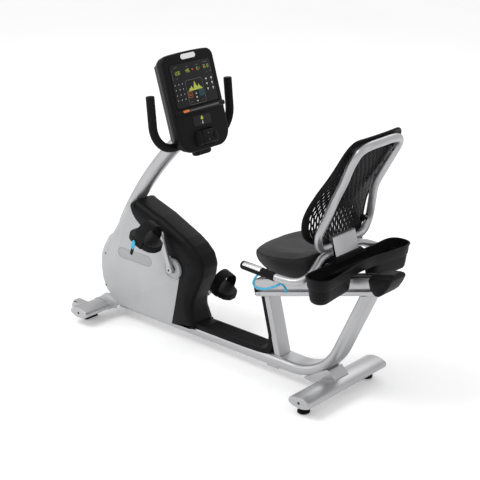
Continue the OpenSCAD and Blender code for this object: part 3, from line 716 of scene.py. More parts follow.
def cover_profile():
    """The covers' side outline, with how far each stretch curves in towards the sides."""
    stretches = [
        ((-585, 628), 3, 10), ((-612, 616), 14, 18), ((-632, 592), 30, 30),
        ((-700, 484), 60, 35), ((-735, 434), 40, 35), ((-763, 413), 30, 36),
        ((-798, 360), 60, 38), ((-819, 314), 60, 38), ((-825, 245), 80, 38),
        ((-817, 186), 60, 36), ((-792, 132), 50, 30), ((-704, 69), 20, 8),
        ((-326, 73), 60, 6), ((-187, 84), 6, 22), ((-190, 118), 40, 24),
        ((-214, 173), 60, 30), ((-208, 225), 60, 44), ((-176, 285), 80, 58),
        ((-148, 346), 60, 62), ((-139, 399), 50, 62), ((-158, 452), 40, 60),
        ((-200, 490), 40, 58), ((-247, 518), 80, 56), ((-403, 587), 100, 54),
        ((-561, 637), 12, 40)]
    corners = [p for p, _, _ in stretches]
    outline = rounded(corners, [r for _, r, _ in stretches], 10)
    ends = np.array(corners, float)
    depth = []
    for q in outline:
        gaps = np.linalg.norm(ends - np.array(q), axis=1)
        near = np.argsort(gaps)[:2]
        weights = 1 / (gaps[near] + 4)
        depth.append(float(np.dot(weights, [stretches[i][2] for i in near]) / weights.sum()))
    return outline, smooth(np.array(depth), 4)


FLAT_FROM = 38
COVER_SKIN, SKIN_IN_PLAN = 4, 2.5  # the wall at the sides, and how many times that at the rim
DISC_HOLE_R = 51.6


def cover_body(skin=0):
    """The covers' whole rounded volume, or with a skin the hollow inside them."""
    outline, depth = cover_profile()
    layers = []
    for k in range(9):
        t = math.pi / 2 * k / 8
        w = FLAT_FROM + (COVER_HALF - skin - FLAT_FROM) * math.sin(t)
        layers.append((w, inset(outline, depth * (1 - math.cos(t)) + SKIN_IN_PLAN * skin)))
    rings = [[(u, -w, v) for u, v in ring] for w, ring in reversed(layers)]
    rings += [[(u, w, v) for u, v in ring] for w, ring in layers]
    return loft(rings)


def seam(shift, far):
    """Everything on one side of the seam between grey and black, as far as X = far."""
    line = [(-584 + shift, 700), (-584 + shift, 624), (-583 + shift, 604), (-573 + shift, 577),
            (-553 + shift, 553 + shift), (-521 + shift * 0.6, 529 + shift),
            (-313 + shift * 0.6, 414 + shift), (-250 + shift, 366), (-269 + shift, 327),
            (-300 + shift, 184), (-329 + shift, 60)]
    radii = [0, 4, 14, 30, 30, 60, 10, 10, 60, 200, 0]
    return rounded(line + [(far, 50), (far, 710)], radii + [0, 0], 6)


def cover_cutters():
    """The hollow inside, the holes for the crank discs and the mast's way through."""
    holes = [slab(circle(DISC_HOLE_R, (CRANK_X, CRANK_Z), 64), side, 66, 116) for side in (1, -1)]
    bore = tube(mast_line(140, 153, 12), MAST_R + 1.5, 48)
    return [cover_body(COVER_SKIN), *holes, bore]


PILL = box(228, 55, 27.4, (-563, 356.5), 10)
for side, word in SIDES:
    piece(f"{word}_grey_cover", cover_body(), GREY, "frame", [f"{word}_shroud"],
          bevel=0.7, crisp=55,
          cuts=cover_cutters() + [slab(PILL, side, COVER_HALF - 2.4, COVER_HALF + 10),
                                  prism(seam(-0.5, 60), across, -210, 210),
                                  slab(box(1200, 900, 0, (-400, 350)), side, -200, 0.4)])
    badge = slab(inset(PILL, 3.0), side, COVER_HALF - 4, COVER_HALF - 0.9, 0.9, 0)
    piece(f"{word}_cover_badge", badge, BADGE, "frame")

piece("black_centre_cover", cover_body(), BLACK_COVER, "frame",
      ["center_shroud"], bevel=0.7, crisp=55,
      cuts=cover_cutters() + [prism(seam(0.5, -960), across, -210, 210)])


def collar(side):
    """A sleeve that flares from the front stabiliser into the side of the grey cover."""
    rings = []
    for k in range(9):
        t = math.pi / 2 * k / 8
        flare = (1 - math.cos(t)) ** 1.3
        y = 106 - 34 * math.sin(t)
        ring = []
        for u, v in lens(FOOT_W, FOOT_H, FOOT_CROWN):
            middle = max(0.0, 1 - (2 * u / FOOT_W) ** 2)
            up = v * 1.12 + (22 * flare * middle if v > 0 else 0)
            ring.append((FRONT_FOOT[0] + u * 1.06 + 12 * flare, side * y, FOOT_Z + up))
        rings.append(ring)
    return loft(rings)


piece("stabiliser_collars", pair(collar), GREY, "frame", crisp=50)


def cover_screw(x, z, side, r):
    y = COVER_HALF
    return lathe([(0, y - 2), (r, y - 2), (r, y + 0.7), (r * 0.8, y + 1.5), (r * 0.5, y + 1.5),
                  (r * 0.42, y - 0.2), (0, y - 0.4)],
                 outwards(side), (x, z), 20)


screws = [cover_screw(x, z, s, 4.4) for s in (-1, 1)
          for x, z in ((-768, 323), (-775, 156), (-544, 566), (-304, 132))]
piece("cover_screw_heads", both(*screws), SCREW_BLACK, "frame", ["cover_screws"])

# ---- cranks and pedals ----

def crank_disc(side):
    """The dished ring round the crank axle, flush with the cover."""
    profile = [(0, 72), (20, 72), (20, 84), (24, 85.5), (38, 82), (42, 84), (45, 88),
               (48.5, 88.6), (50.8, 86), (51, 70), (51, 66), (0, 66)]
    return lathe(profile, outwards(side), (CRANK_X, CRANK_Z), 72)


piece("crank_discs", pair(crank_disc), GREY, "frame",
      ["crank_covers"], crisp=40)


def crank_arm(side):
    turn = math.radians(CRANK_ANGLE + (0 if side < 0 else 180))
    c, d = math.cos(turn), math.sin(turn)

    def place(u, v, w):
        return (CRANK_X + u * c - v * d, side * w, CRANK_Z + u * d + v * c)

    hub = [(18 * math.cos(t), 18 * math.sin(t))
           for t in (math.pi / 2 + math.pi * k / 12 for k in range(13))]
    tip = [(CRANK_R + 13 * math.cos(t), 13 * math.sin(t))
           for t in (-math.pi / 2 + math.pi * k / 12 for k in range(13))]
    waist_low = [(40, -12.5), (90, -11), (140, -11)]
    waist_high = [(140, 11), (90, 11), (40, 12.5)]
    bar = prism(hub + waist_low + tip + waist_high, place, ARM_Y - 6, ARM_Y + 7, 3.0, 2.0)
    boss = lathe([(17, ARM_Y - 7), (19, ARM_Y - 5), (19, ARM_Y + 5), (18, ARM_Y + 8),
                  (14, ARM_Y + 9.5), (11, ARM_Y + 9.5), (11, ARM_Y + 7), (0, ARM_Y + 7)],
                 place, (0, 0), 40)
    return place, both(bar, boss)


arms, axle_bolts, spindles = [], [], []
for side, _ in SIDES:
    place, shape = crank_arm(side)
    arms.append(shape)
    top = ARM_Y + 7
    axle_bolts.append(lathe([(0, top + 2), (6, top + 2), (6, top + 3.4), (5, top + 3.9),
                             (2.4, top + 3.9), (2.1, top + 3.3), (0, top + 3.3)], place, (0, 0), 24))
    inner, outer = PEDAL_Y - PEDAL_HALF, PEDAL_Y + PEDAL_HALF
    spindles.append(lathe([(10, top - 1), (10, top + 4), (7, top + 5), (7, inner), (0, inner)],
                          place, (CRANK_R, 0), 24))
    spindles.append(lathe([(0, outer - 1), (7, outer - 1), (7, outer + 1.4), (5, outer + 2.6),
                           (0, outer + 2.6)], place, (CRANK_R, 0), 24))
piece("crank_arm_pair", both(*arms), SILVER, "crank", ["crank_arms"], crisp=40)
piece("crank_bolts", both(*axle_bolts), BLACK_DEEP, "crank")
piece("pedal_spindles", both(*spindles), STEEL, "crank")

PEDAL_PLAN = rounded([(-80, -57), (-80, 57), (26, 57), (64, 46), (84, 18), (84, -18), (64, -46),
                      (26, -57)], [44, 44, 50, 36, 30, 30, 36, 50], 6)


def plan_reach(v, outline):
    """How far the pedal's plan reaches along u at a given v."""
    hits = []
    for (u0, v0), (u1, v1) in zip(outline, outline[1:] + outline[:1]):
        if (v0 - v) * (v1 - v) <= 0 and v0 != v1:
            hits.append(u0 + (u1 - u0) * (v - v0) / (v1 - v0))
    return min(hits), max(hits)


def pedal(side):
    place = at_pedal(side)
    body = prism(PEDAL_PLAN, place, TREAD_TOP - 33, TREAD_TOP - 1.5, 5, 8)
    ribs = []
    inner = inset(PEDAL_PLAN, 5)
    for k in range(-5, 6):
        v = k * 9.4
        low, high = plan_reach(v, inner)
        rib = box(high - low, 4.6, 2.2, ((low + high) / 2, v), 3)
        ribs.append(prism(rib, place, TREAD_TOP - 3, TREAD_TOP + 0.6, 1.2, 0, 2))
        ribs.append(prism(rib, place, TREAD_TOP - 34, TREAD_TOP - 31, 0, 1.2, 2))
    cap = lathe([(15, -58), (15, -55), (12, -48)], edgewise(place), (0, -3), 24)
    return body, ribs, cap


STRAP_FROM, STRAP_WIDE = -24, 54
ARCH_R, ARCH_Z, STRAP_THICK = 57, 32, 3


def strap(side):
    """The arch over the foot: a wide band with raised rims, and its hanging tail."""
    place = at_pedal(side)
    outer, inner = [], []
    legs = 16
    for t in (math.pi * k / 28 for k in range(29)):
        for line, r in ((inner, ARCH_R), (outer, ARCH_R + STRAP_THICK)):
            line.append((r * math.cos(t), ARCH_Z + r * math.sin(t)))
    outer = [(ARCH_R + STRAP_THICK, -legs)] + outer + [(-ARCH_R - STRAP_THICK, -legs)]
    inner = [(-ARCH_R, -legs)] + inner[::-1] + [(ARCH_R, -legs)]
    band = prism(outer + inner, lambda u, v, w: place(w, u, v), STRAP_FROM,
                 STRAP_FROM + STRAP_WIDE, 0.8, 0.8, 2)
    tail = prism(box(16, 62, 4, (-16, -44)), edgewise(place), 57.3, 60.2, 0.7)
    return both(band, tail)


for side, word in SIDES:
    body, ribs, cap = pedal(side)
    piece(f"{word}_pedal_body", both(body, cap), BLACK, f"{word}_pedal_body",
          [f"{word}_pedal"], crisp=40)
    piece(f"{word}_pedal_tread", both(*ribs), TREAD, f"{word}_pedal_body")
    piece(f"{word}_foot_strap", strap(side), RUBBER, f"{word}_pedal_body",
          [f"{word}_pedal_strap"], crisp=40)
    place = at_pedal(side)
    slide = [prism(rounded([(-25, -40), (-7, -40), (-4, -20), (-7, 4), (-21, 6), (-27, -18)],
                           [6, 6, 14, 8, 6, 14], 4),
                   edgewise(place), 60, 66, 2.4),
             prism(box(14, 7, 3, (-15, -2)), edgewise(place), 65, 68, 1.4),
             prism(box(13, 5, 2, (-15, -30)), edgewise(place), 65, 67.4, 1.2)]
    piece(f"{word}_buckle", both(*slide), CYAN, f"{word}_pedal_body",
          [f"{word}_strap_buckle"])

# ---- console ----

def console_outline():
    """A shield: gently arched top, upright sides and broad round lower corners."""
    top = [(k / 8 * (CONSOLE_HALF - 40), 237 + 3 * (1 - (k / 8) ** 2)) for k in range(-8, 9)]
    right = arc((CONSOLE_HALF - 38, 198), 38, 86, 0, 8)
    low_right = arc((CONSOLE_HALF - 79, -120), 78, 0, -90, 12)
    left = [(-y, b) for y, b in reversed(low_right)]
    high_left = [(-y, b) for y, b in reversed(right)]
    return top[1:-1] + right + low_right + left + high_left


SHIELD = console_outline()
body_layers = [(-34, 26), (-30, 8), (-26, 1.6), (-20, 0), (-12, 0), (-5, 0.8), (-1.6, 3.2),
               (-0.3, 6.2), (0, 9)]
back_layers = [(-102, 44), (-99, 38), (-92, 33), (-64, 22), (-60, 14), (-44, 5), (-31, 3.5),
               (-29, 6)]
PLINTH_B = -143
face = stack(SHIELD, body_layers, on_console)
hole = prism(box(72, 72, 4, (0, PLINTH_B)), on_console, -9, 30)
piece("console_face", face, BLACK, "frame", ["console_housing"], crisp=40,
      cuts=[hole])
back = stack(SHIELD, back_layers, on_console)
chin = prism(rounded([(-50, -186), (-50, -212), (-38, -220), (38, -220), (50, -212), (50, -186)],
                     [4, 9, 9, 9, 9, 4]), on_console, -62, -30, 7, 7)
piece("console_rear_shell", both(back, chin), BLACK_COVER, "frame",
      ["console_back"], crisp=45,
      cuts=[tube(mast_line(129, 142, 14), MAST_R + 0.4, 40)])
piece("console_chin_screws",
      both(*[lathe([(0, 0), (3.4, 0), (3.4, 1), (1.6, 1.6), (0, 0.8)],
                   lambda u, v, w: on_console(u, v, -30 + w), (y, -208), 16) for y in (-26, 26)]),
      BLACK_DEEP, "frame")

window = rounded([(-128, 3), (128, 3), (124, 190), (-124, 190)], 9, 6)
low_window = rounded([(-53, -90), (53, -90), (56, -46), (-56, -46)], 6, 4)
piece("display_window", prism(window, on_console, -2, 1.4, 0.6), GLOSS, "frame",
      ["display_panel"])
piece("metrics_window", prism(low_window, on_console, -2, 1.2, 0.5), GLOSS, "frame")
frame_line = tube([on_console(y, b, 0.2) for y, b in rounded(
    [(-132, -2), (132, -2), (129, 195), (-129, 195)], 12, 6)], 0.9, 8, closed=True)
piece("display_surround", frame_line, BLACK_COVER, "frame")

INK, INK_THICK = 1.45, 0.25
STROKES = {"a": (0, 1, 0), "b": (1, 0.5, 1), "c": (1, -0.5, 1), "d": (0, -1, 0),
           "e": (-1, -0.5, 1), "f": (-1, 0.5, 1), "g": (0, 0, 0)}
SHAPES = {"0": "abcdef", "1": "bc", "2": "abged", "3": "abgcd", "4": "fgbc", "5": "afgcd",
          "6": "afgedc", "7": "abc", "8": "abcdefg", "9": "abfgcd"}


def digit(value, y, b, w=6.6, h=14.0):
    """One seven-stroke digit, centred on (y, b)."""
    strokes = []
    for key in SHAPES[value]:
        i, j, upright = STROKES[key]
        centre = (y + i * w / 2, b + j * h / 2)
        size = (1.5, h / 2 - 1.2) if upright else (w - 1.2, 1.5)
        strokes.append(mark(box(*size, 0.5, centre, 2)))
    return strokes


def number(text, y, b, pitch=9.2):
    strokes = []
    for k, value in enumerate(text):
        strokes += digit(value, y + (k - (len(text) - 1) / 2) * pitch, b)
    return strokes


def mark(outline):
    """A print on the window's glass."""
    return prism(outline, on_console, INK - 0.5, INK + INK_THICK)


def outline_key(w, h, r, centre, line=0.8):
    path = [on_console(y, b, INK) for y, b in box(w, h, r, centre, 4)]
    return tube(path, line, 8, closed=True)


peaks = [(-45, 66)]
for k in range(0, 45):
    y = -44 + 2 * k
    level = sum(h * math.exp(-((y - c) / s) ** 2) for c, h, s in
                ((-31, 11, 5), (-20, 20, 6), (2, 37, 8), (14, 10, 5), (25, 22, 6), (36, 9, 6)))
    peaks.append((y, 67 + level))
peaks += [(46, 66)]
lit = [mark(peaks)]
for text, y, b in (("1200", -88, 153), ("486", -23, 155), ("151", 40, 155), ("3618", 92, 157)):
    lit += number(text, y, b)
flame = rounded([(-7, -66), (7, -66), (9, -58), (3, -50), (1, -47), (-2, -52), (-7, -57)], 2, 3)
lit.append(prism(flame, on_console, 0.8, 1.5))
piece("lit_segments", both(*lit), OLIVE, "frame")

prints = []
for j, b in enumerate((104, 82, 59, 37)):
    for i, y in enumerate((-115, -92, -70)):
        prints.append(mark(box(3.0, 4.4, 1.2, (y, b), 3)))
for b in (103, 82, 59):
    prints.append(mark(box(9, 5.5, 2.2, (78, b), 3)))
    prints.append(mark(box(5, 1.2, 0.4, (78, b - 7), 2)))
    prints.append(mark(circle(4.0, (111, b), 20)))
    prints.append(mark(box(6, 1.2, 0.4, (111, b - 7), 2)))
prints += [mark([(-5, 48), (5, 48), (0, 55)]), mark(circle(3.6, (0, 34), 20)),
           mark([(0, 13), (5, 20), (-5, 20)])]
piece("printed_marks", both(*prints), PRINT_WHITE, "frame")
faint = [mark(box(w, 1.3, 0.4, (y, b), 2)) for w, y, b in (
    (20, -92, 178), (14, -23, 174), (12, 40, 172), (26, 92, 176), (14, -36, 19), (10, 32, 18),
    (8, 92, 132), (8, 112, 133), (10, -95, 130))]
faint += [outline_key(104, 108, 9, (0, 60), 0.6),
          tube([on_console(-118, b, INK) for b in (125, 170)], 0.45, 6),
          tube([on_console(120, b, INK) for b in (125, 170)], 0.45, 6)]
piece("faint_print", both(*faint), PRINT_GREY, "frame")
figure = [prism(circle(2.6, (0, -73), 16), on_console, 0.8, 1.5),
          prism(rounded([(-4, -84), (4, -84), (3, -77), (-3, -77)], 1, 2), on_console, 0.8, 1.5)]
piece("metrics_mark", both(*figure), PRINT_WHITE, "frame")
piece("orange_key", both(outline_key(24, 24, 5, (-35, 50)), outline_key(11, 8, 3, (-35, 50), 0.7)),
      ORANGE, "frame")
piece("teal_key", both(outline_key(24, 24, 5, (34, 49)), outline_key(9, 12, 4, (34, 49), 0.7)),
      TEAL, "frame")
piece("pulse_lamp", mark(circle(3.2, (8, 156), 20)), RED, "frame")

ledge_rings = []
for y in (-152, -150, -140, 140, 150, 152):
    drop = {152: 5, 150: 1.2, 140: 0}[abs(y)]
    section = rounded([(-3, -31 + drop), (10 - drop, -28 + drop), (14.5 - drop, -22),
                       (14.5 - drop, -12), (9 - drop, -6), (-3, -4 - drop)], [1, 4, 3, 3, 3, 1], 3)
    ledge_rings.append([on_console(y, b, a) for a, b in section])
piece("reading_ledge_bar", loft(ledge_rings), BLACK, "frame",
      ["reading_ledge"], crisp=45)
strip = prism(box(226, 7.5, 3.4, (0, -15.5), 4), on_console, 12, 15.4, 0.8)
piece("ledge_strip", strip, DARK_METAL, "frame")
piece("ledge_orange_block", prism(box(34, 10, 2.5, (-96, -14), 4), on_console, 12, 16.4, 0.9),
      ORANGE, "frame")
badge = prism(box(90, 23, 11.4, (0, 218), 8), on_console, -2, 1.9, 0.8)
piece("blank_badge", badge, WHITE, "frame", ["console_badge"])

plinth_plan = rounded([(-67, -177), (67, -177), (67, -146), (58, -109), (-58, -109), (-67, -146)],
                      [14, 14, 20, 8, 8, 20], 5)
plinth_layers = [(-3, -2), (0, -1), (8, 1), (14, 3), (17.5, 6), (19, 10)]
plinth = stack(plinth_plan, plinth_layers, on_console)
piece("paddle_plinth", plinth, BLACK, "frame", crisp=40, cuts=[hole])
rocker_side = rounded([(-31, 4), (31, 4), (31, 22), (24, 27), (4, 21.5), (-4, 21.5), (-24, 27),
                       (-31, 22)], [2, 2, 5, 6, 10, 10, 6, 5], 4)
rocker = prism(rocker_side, lambda u, v, w: on_console(w, PLINTH_B + u, v - 4), -34, 34, 3, 3)
piece("paddle_rocker", rocker, BLACK_COVER, "paddle_body",
      ["resistance_paddle"], crisp=40)
arrows = [prism([(-4, PLINTH_B + s * 14), (4, PLINTH_B + s * 14), (0, PLINTH_B + s * 20)][::s],
                on_console, 20.2, 20.9) for s in (-1, 1)]
piece("paddle_marks", both(*arrows), PRINT_GREY, "paddle_body")

# ---- front handlebar ----

BAR_X, BAR_Z, BAR_HALF, BAR_BEND, BAR_UP, BAR_R = -233.5, 972, 245, 115, 245, 19.2


def at_bar(u, v, w):
    lean = math.radians(5.2)
    return (BAR_X + u * math.cos(lean) - w * math.sin(lean), v,
            BAR_Z + u * math.sin(lean) + w * math.cos(lean))


half_bar = [(-BAR_HALF, BAR_UP), (-BAR_HALF, BAR_UP - 40), (-BAR_HALF, BAR_UP - 80)]
half_bar += arc((BAR_BEND - BAR_HALF, BAR_BEND), BAR_BEND, 180, 270, 16)
bar_path = half_bar + [(-y, z) for y, z in reversed(half_bar)]
piece("handlebar_sleeve", tube([at_bar(0, y, z) for y, z in bar_path], BAR_R, 32, dome=1.5), FOAM,
      "frame", ["handlebar_grips"])
bar_caps = []
for side in (-1, 1):
    profile = [(BAR_R - 1.5, BAR_UP), (BAR_R - 1.5, BAR_UP + 2), (BAR_R - 3, BAR_UP + 3),
               (11, BAR_UP + 3), (10, BAR_UP + 1.8), (4, BAR_UP + 1.8), (3, BAR_UP + 2.6),
               (0, BAR_UP + 2.6)]
    bar_caps.append(lathe(profile, at_bar, (0, side * BAR_HALF), 32))
piece("handlebar_end_caps", both(*bar_caps), BLACK, "frame", crisp=40)

# ---- seat ----

def cushion_plan():
    """The cushion's outline from above: a round nose and drawn-in rear corners."""
    front = [(228 + 300 * (1 - math.cos(t)), 300 * math.sin(t))
             for t in (math.radians(2 + 38 * k / 10) for k in range(11))]
    half = [(x, y) for x, y in front if y < 170]
    half += [(340, 197), (385, 210), (430, CUSHION_HALF), (480, 213), (530, 206), (562, 196),
             (575, 182), (577, 165), (577, 110), (574, 90), (560, 82), (532, 78), (526, 70)]
    line = curve([(x, y, 0) for x, y in half] + [(525, 0, 0)], 3)
    right = [(p[0], p[1]) for p in line]
    return right + [(x, -y) for x, y in reversed(right[:-1])]


def crease_z(x):
    """Height of the edge between the cushion's top and its sides."""
    return float(np.interp(x, [228, 260, 353, 430, 513, 581], [624, 629, 639, 650, 664, 685]))


def floor_z(x):
    return float(np.interp(x, [228, 250, 300, 437, 530, 596], [604, 590, 578, 569, 569, 612]))


def crown_z(x, y):
    """The seat's own form: a raised nose, a hollow for the rider and firm thigh edges."""
    hollow = 9 * math.exp(-((x - 455) / 95) ** 2) * math.exp(-(y / 120) ** 2)
    channel = 3 * math.exp(-(y / 45) ** 2) * (1 if x < 420 else 0.5)
    return crease_z(x) + 11 - hollow - channel


def cushion_start():
    outline = cushion_plan()
    levels = [(30, 0.0, 0), (16, 0.02, 0), (7, 0.14, 0), (2, 0.4, 0), (0, 0.72, 0), (1, 0.95, 0),
              (4, 1.0, 0.12), (14, 1.0, 0.45), (34, 1.0, 0.8), (70, 1.0, 1.0), (110, 1.0, 1.0)]
    centre = np.array([430.0, 0.0])
    rings = []
    for depth, up, crown in levels:
        ring = []
        for u, v in outline:
            p = np.array([u, v])
            pull = centre - p
            reach = max(np.linalg.norm(pull), 1)
            q = p + pull * min(depth / reach, 0.9)
            low, edge = floor_z(q[0]), crease_z(q[0])
            z = low + (edge - low) * up
            z += (crown_z(*q) - edge) * crown if crown else 0
            ring.append((q[0], q[1], z))
        rings.append(ring)
    return loft(rings)


CELL, LARGEST_MOVE = 0.0055, 0.006  # metres
PRESSURE, STIFFNESS, BENDING, FRAMES = 2.2, 40, 6, 12


def puff(obj):
    """Fills the closed form with air as cloth, which rounds it like stuffed upholstery."""
    step = obj.modifiers.new("cells", "REMESH")
    step.mode, step.voxel_size = "VOXEL", CELL
    bake(obj)
    cloth = obj.modifiers.new("cloth", "CLOTH")
    settings = cloth.settings
    settings.quality, settings.mass = 6, 0.3
    settings.tension_stiffness = settings.compression_stiffness = STIFFNESS
    settings.bending_stiffness = BENDING
    settings.use_pressure, settings.uniform_pressure_force = True, PRESSURE
    settings.effector_weights.gravity = 0
    cloth.point_cache.frame_start, cloth.point_cache.frame_end = 1, FRAMES
    scene = bpy.context.scene
    before = np.array([v.co for v in obj.data.vertices])
    for number in range(1, FRAMES + 1):
        scene.frame_set(number)
    bake(obj)
    scene.frame_set(1)
    after = np.array([v.co for v in obj.data.vertices])
    move = after - before
    size = np.linalg.norm(move, axis=1)
    move *= np.minimum(1, LARGEST_MOVE / np.maximum(size, 1e-9))[:, None]
    obj.data.vertices.foreach_set("co", (before + move).ravel())
    obj.data.update()


CREASE_LIFT, RIM_SHARE, RIM_REACH = 2.5, 0.35, 12


def mark_top(obj):
    """Writes how far each point is above the crease, for the two upholstery finishes."""
    layer = obj.data.attributes.new("above_crease", "FLOAT", "POINT")
    outline = np.array(cushion_plan())
    values = []
    for v in obj.data.vertices:
        x, y, z = np.array(v.co) / MM
        rim = np.min(np.linalg.norm(outline - np.array([x, y]), axis=1))
        values.append(z - crease_z(x) - CREASE_LIFT + min(rim, RIM_REACH) * RIM_SHARE)
    layer.data.foreach_set("value", values)


TOP_GREYS, SIDE_GREYS = (0.013, 0.034), (0.004, 0.007)


def upholstery():
    """Dark grey lined fabric on top and smooth black coated cloth round the sides."""
    look = bpy.data.materials.new("upholstery")
    look.use_nodes = True
    join = look.node_tree.links.new
    shader = look.node_tree.nodes["Principled BSDF"]
    fill(shader, Sheen_Weight=0.05, Specular_IOR_Level=0.18)
    place = add(look, "TexCoord")
    above = add(look, "Attribute")
    above.attribute_name = "above_crease"
    split = add(look, "MapRange", From_Min=-0.6, From_Max=0.6)
    join(above.outputs["Fac"], split.inputs["Value"])
    lines = add(look, "TexWave", Scale=62, Distortion=1.2, Detail=2)
    lines.bands_direction = "Y"
    drift = add(look, "TexNoise", Scale=9)
    weave = add(look, "TexNoise", Scale=1200)
    for texture in (lines, drift, weave):
        join(place.outputs["Object"], texture.inputs["Vector"])
    top, side = add(look, "ValToRGB"), add(look, "ValToRGB")
    for ramp, source, levels, blue in ((top, lines, TOP_GREYS, 1.02), (side, drift, SIDE_GREYS, 1)):
        for stop, level in zip(ramp.color_ramp.elements, levels):
            stop.color = (level, level, level * blue, 1)
        join(source.outputs["Fac"], ramp.inputs["Fac"])
    mix = add(look, "Mix")
    mix.data_type = "RGBA"
    join(split.outputs["Result"], mix.inputs["Factor"])
    join(side.outputs["Color"], mix.inputs["A"])
    join(top.outputs["Color"], mix.inputs["B"])
    join(mix.outputs["Result"], shader.inputs["Base Color"])
    gloss = add(look, "MapRange", To_Min=0.46, To_Max=0.66)
    join(split.outputs["Result"], gloss.inputs["Value"])
    join(gloss.outputs["Result"], shader.inputs["Roughness"])
    height = add(look, "Mix")
    join(weave.outputs["Fac"], height.inputs["A"])
    join(lines.outputs["Fac"], height.inputs["B"])
    join(split.outputs["Result"], height.inputs["Factor"])
    relief = add(look, "Bump", Strength=0.35, Distance=0.0005)
    join(height.outputs["Result"], relief.inputs["Height"])
    join(relief.outputs["Normal"], shader.inputs["Normal"])
    return look


cushion = new_object("seat_cushion_cover", cushion_start())
puff(cushion)
mark_top(cushion)
dress(cushion, upholstery(), 60)
surface = BVHTree.FromObject(cushion, bpy.context.evaluated_depsgraph_get())
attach(cushion, "seat")
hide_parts("seat_cushion")
seam_path = []
for u, v in cushion_plan()[::2]:
    near = surface.find_nearest(Vector((u, v, crease_z(u) - 0.5)) * MM)
    seam_path.append(near[0] / MM + near[1] * 0.2)
piece("cushion_edge_welt", tube(seam_path, WELT_R, 8, closed=True), BLACK, "seat")

plate_plan = rounded([(322, -165), (322, 165), (560, 165), (600, 80), (600, -80), (560, -165)], 24)
piece("cushion_base_board", prism(plate_plan, flat, 561, 570, 1.5, 1.5), BLACK, "seat",
      ["seat_pan"])

# ---- backrest ----

SHELL = np.array([  # height, X of the edge, half width, how far the edges wrap forwards
    [722, 597, 118, 8], [730, 580, 158, 18], [757, 561, 192, 30], [792, 557, 205, 33],
    [845, 565, 210, 31], [900, 591, 210, 27], [970, 635, 206, 22], [1033, 679, 199, 18],
    [1082, 708, 192, 14], [1144, 740, 180, 11], [1174, 756, 168, 8], [1190, 763, 146, 6]])
SHELL_ALONG = np.concatenate([[0], np.cumsum(np.linalg.norm(np.diff(SHELL[:, [0, 1]], axis=0),
                                                            axis=1))])
SHELL_LENGTH = float(SHELL_ALONG[-1])


def shell_point(u, t, off=0.0):
    """A point of the back's front sheet: u across from -1 to 1 and t up from 0 to 1."""
    s = t * SHELL_LENGTH
    z, x, half, wrap = (float(np.interp(s, SHELL_ALONG, SHELL[:, i])) for i in range(4))
    lumbar = 6 * math.exp(-((t - 0.3) / 0.14) ** 2) * (1 - u * u)
    return (x + wrap * (1 - u * u) - lumbar + off, u * half, z - off * 0.4)


def slot_size(u, t):
    """How open the shell's slots are at a place: 0 is closed."""
    edge = abs(u)
    if not (0.05 < t < 0.96 and edge < 0.90):
        return 0.0
    side_run = 0.58 - 0.22 * math.exp(-((t - 0.2) / 0.16) ** 2)
    if edge > side_run and t < 0.86:
        return 1 - 0.4 * max(0, (t - 0.45) / 0.45)
    if t < 0.34:
        return 1 - t / 0.6
    if t > 0.88:
        return 0.5
    return 0.0


COLUMNS, HALF_ROWS = 30, 26
SHELL_THICK, SHELL_RIM_R = 3.8, 5.5
SLOT_WIDE, SLOT_TALL = 0.60, 0.84  # shares of a cell
DIMPLE_WIDE, DIMPLE_TALL, DIMPLE_DEEP = 0.46, 0.72, 2.0


def shell_sheet():
    """The back's sheet in brickwork cells, each with an open slot, a closed dimple or neither."""
    verts, faces = [], []

    def put(u, t, off=0.0):
        verts.append(shell_point(u, t, off))
        return len(verts) - 1

    for i in range(COLUMNS):
        u0, u1 = (2 * k / COLUMNS - 1 for k in (i, i + 1))
        middle = (u0 + u1) / 2
        first = i % 2
        rows = [(j, min(j + 2, HALF_ROWS)) for j in range(first, HALF_ROWS, 2)]
        if first:
            rows = [(0, 1)] + rows
        for j0, j1 in rows:
            t0, t1 = j0 / HALF_ROWS, j1 / HALF_ROWS
            centre = (t0 + t1) / 2
            steps = [j / HALF_ROWS for j in range(j0, j1 + 1)]
            outer = [(u0, t0), (middle, t0)] + [(u1, t) for t in steps]
            outer += [(middle, t1)] + [(u0, t) for t in reversed(steps[1:])]
            ids = [put(u, t) for u, t in outer]
            size = slot_size(middle, centre) if j1 - j0 == 2 else 0.0
            dimple = j1 - j0 == 2 and 0.06 < centre < 0.95 and abs(middle) < 0.9
            if not (size or dimple):
                faces.append(tuple(ids))
                continue
            tall = SLOT_TALL if size else DIMPLE_TALL
            width = SLOT_WIDE * (0.55 + 0.45 * size) if size else DIMPLE_WIDE
            hole = []
            for u, t in outer:
                a, b = (u - middle) / (u1 - middle), (t - centre) / (t1 - centre)
                if abs(a) > 0.5 and abs(b) > 0.5:
                    a, b = a * 0.60, b * 0.84
                hole.append((middle + a * width * (u1 - middle), centre + b * tall * (t1 - centre)))
            ring = [put(u, t) for u, t in hole]
            n = len(ids)
            faces += [(ids[k], ids[(k + 1) % n], ring[(k + 1) % n], ring[k]) for k in range(n)]
            if not size:
                deep = [put(middle + (u - middle) * 0.6, centre + (t - centre) * 0.7, DIMPLE_DEEP)
                        for u, t in hole]
                faces += [(ring[k], ring[(k + 1) % n], deep[(k + 1) % n], deep[k])
                          for k in range(n)]
                faces.append(tuple(deep))
    return verts, faces


shell = new_object("back_shell_sheet", shell_sheet())
thick = shell.modifiers.new("thickness", "SOLIDIFY")
thick.thickness, thick.offset = SHELL_THICK * MM, 0.0
bake(shell)
dress(shell, BLACK, 50)
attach(shell, "seat")
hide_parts("back_shell")

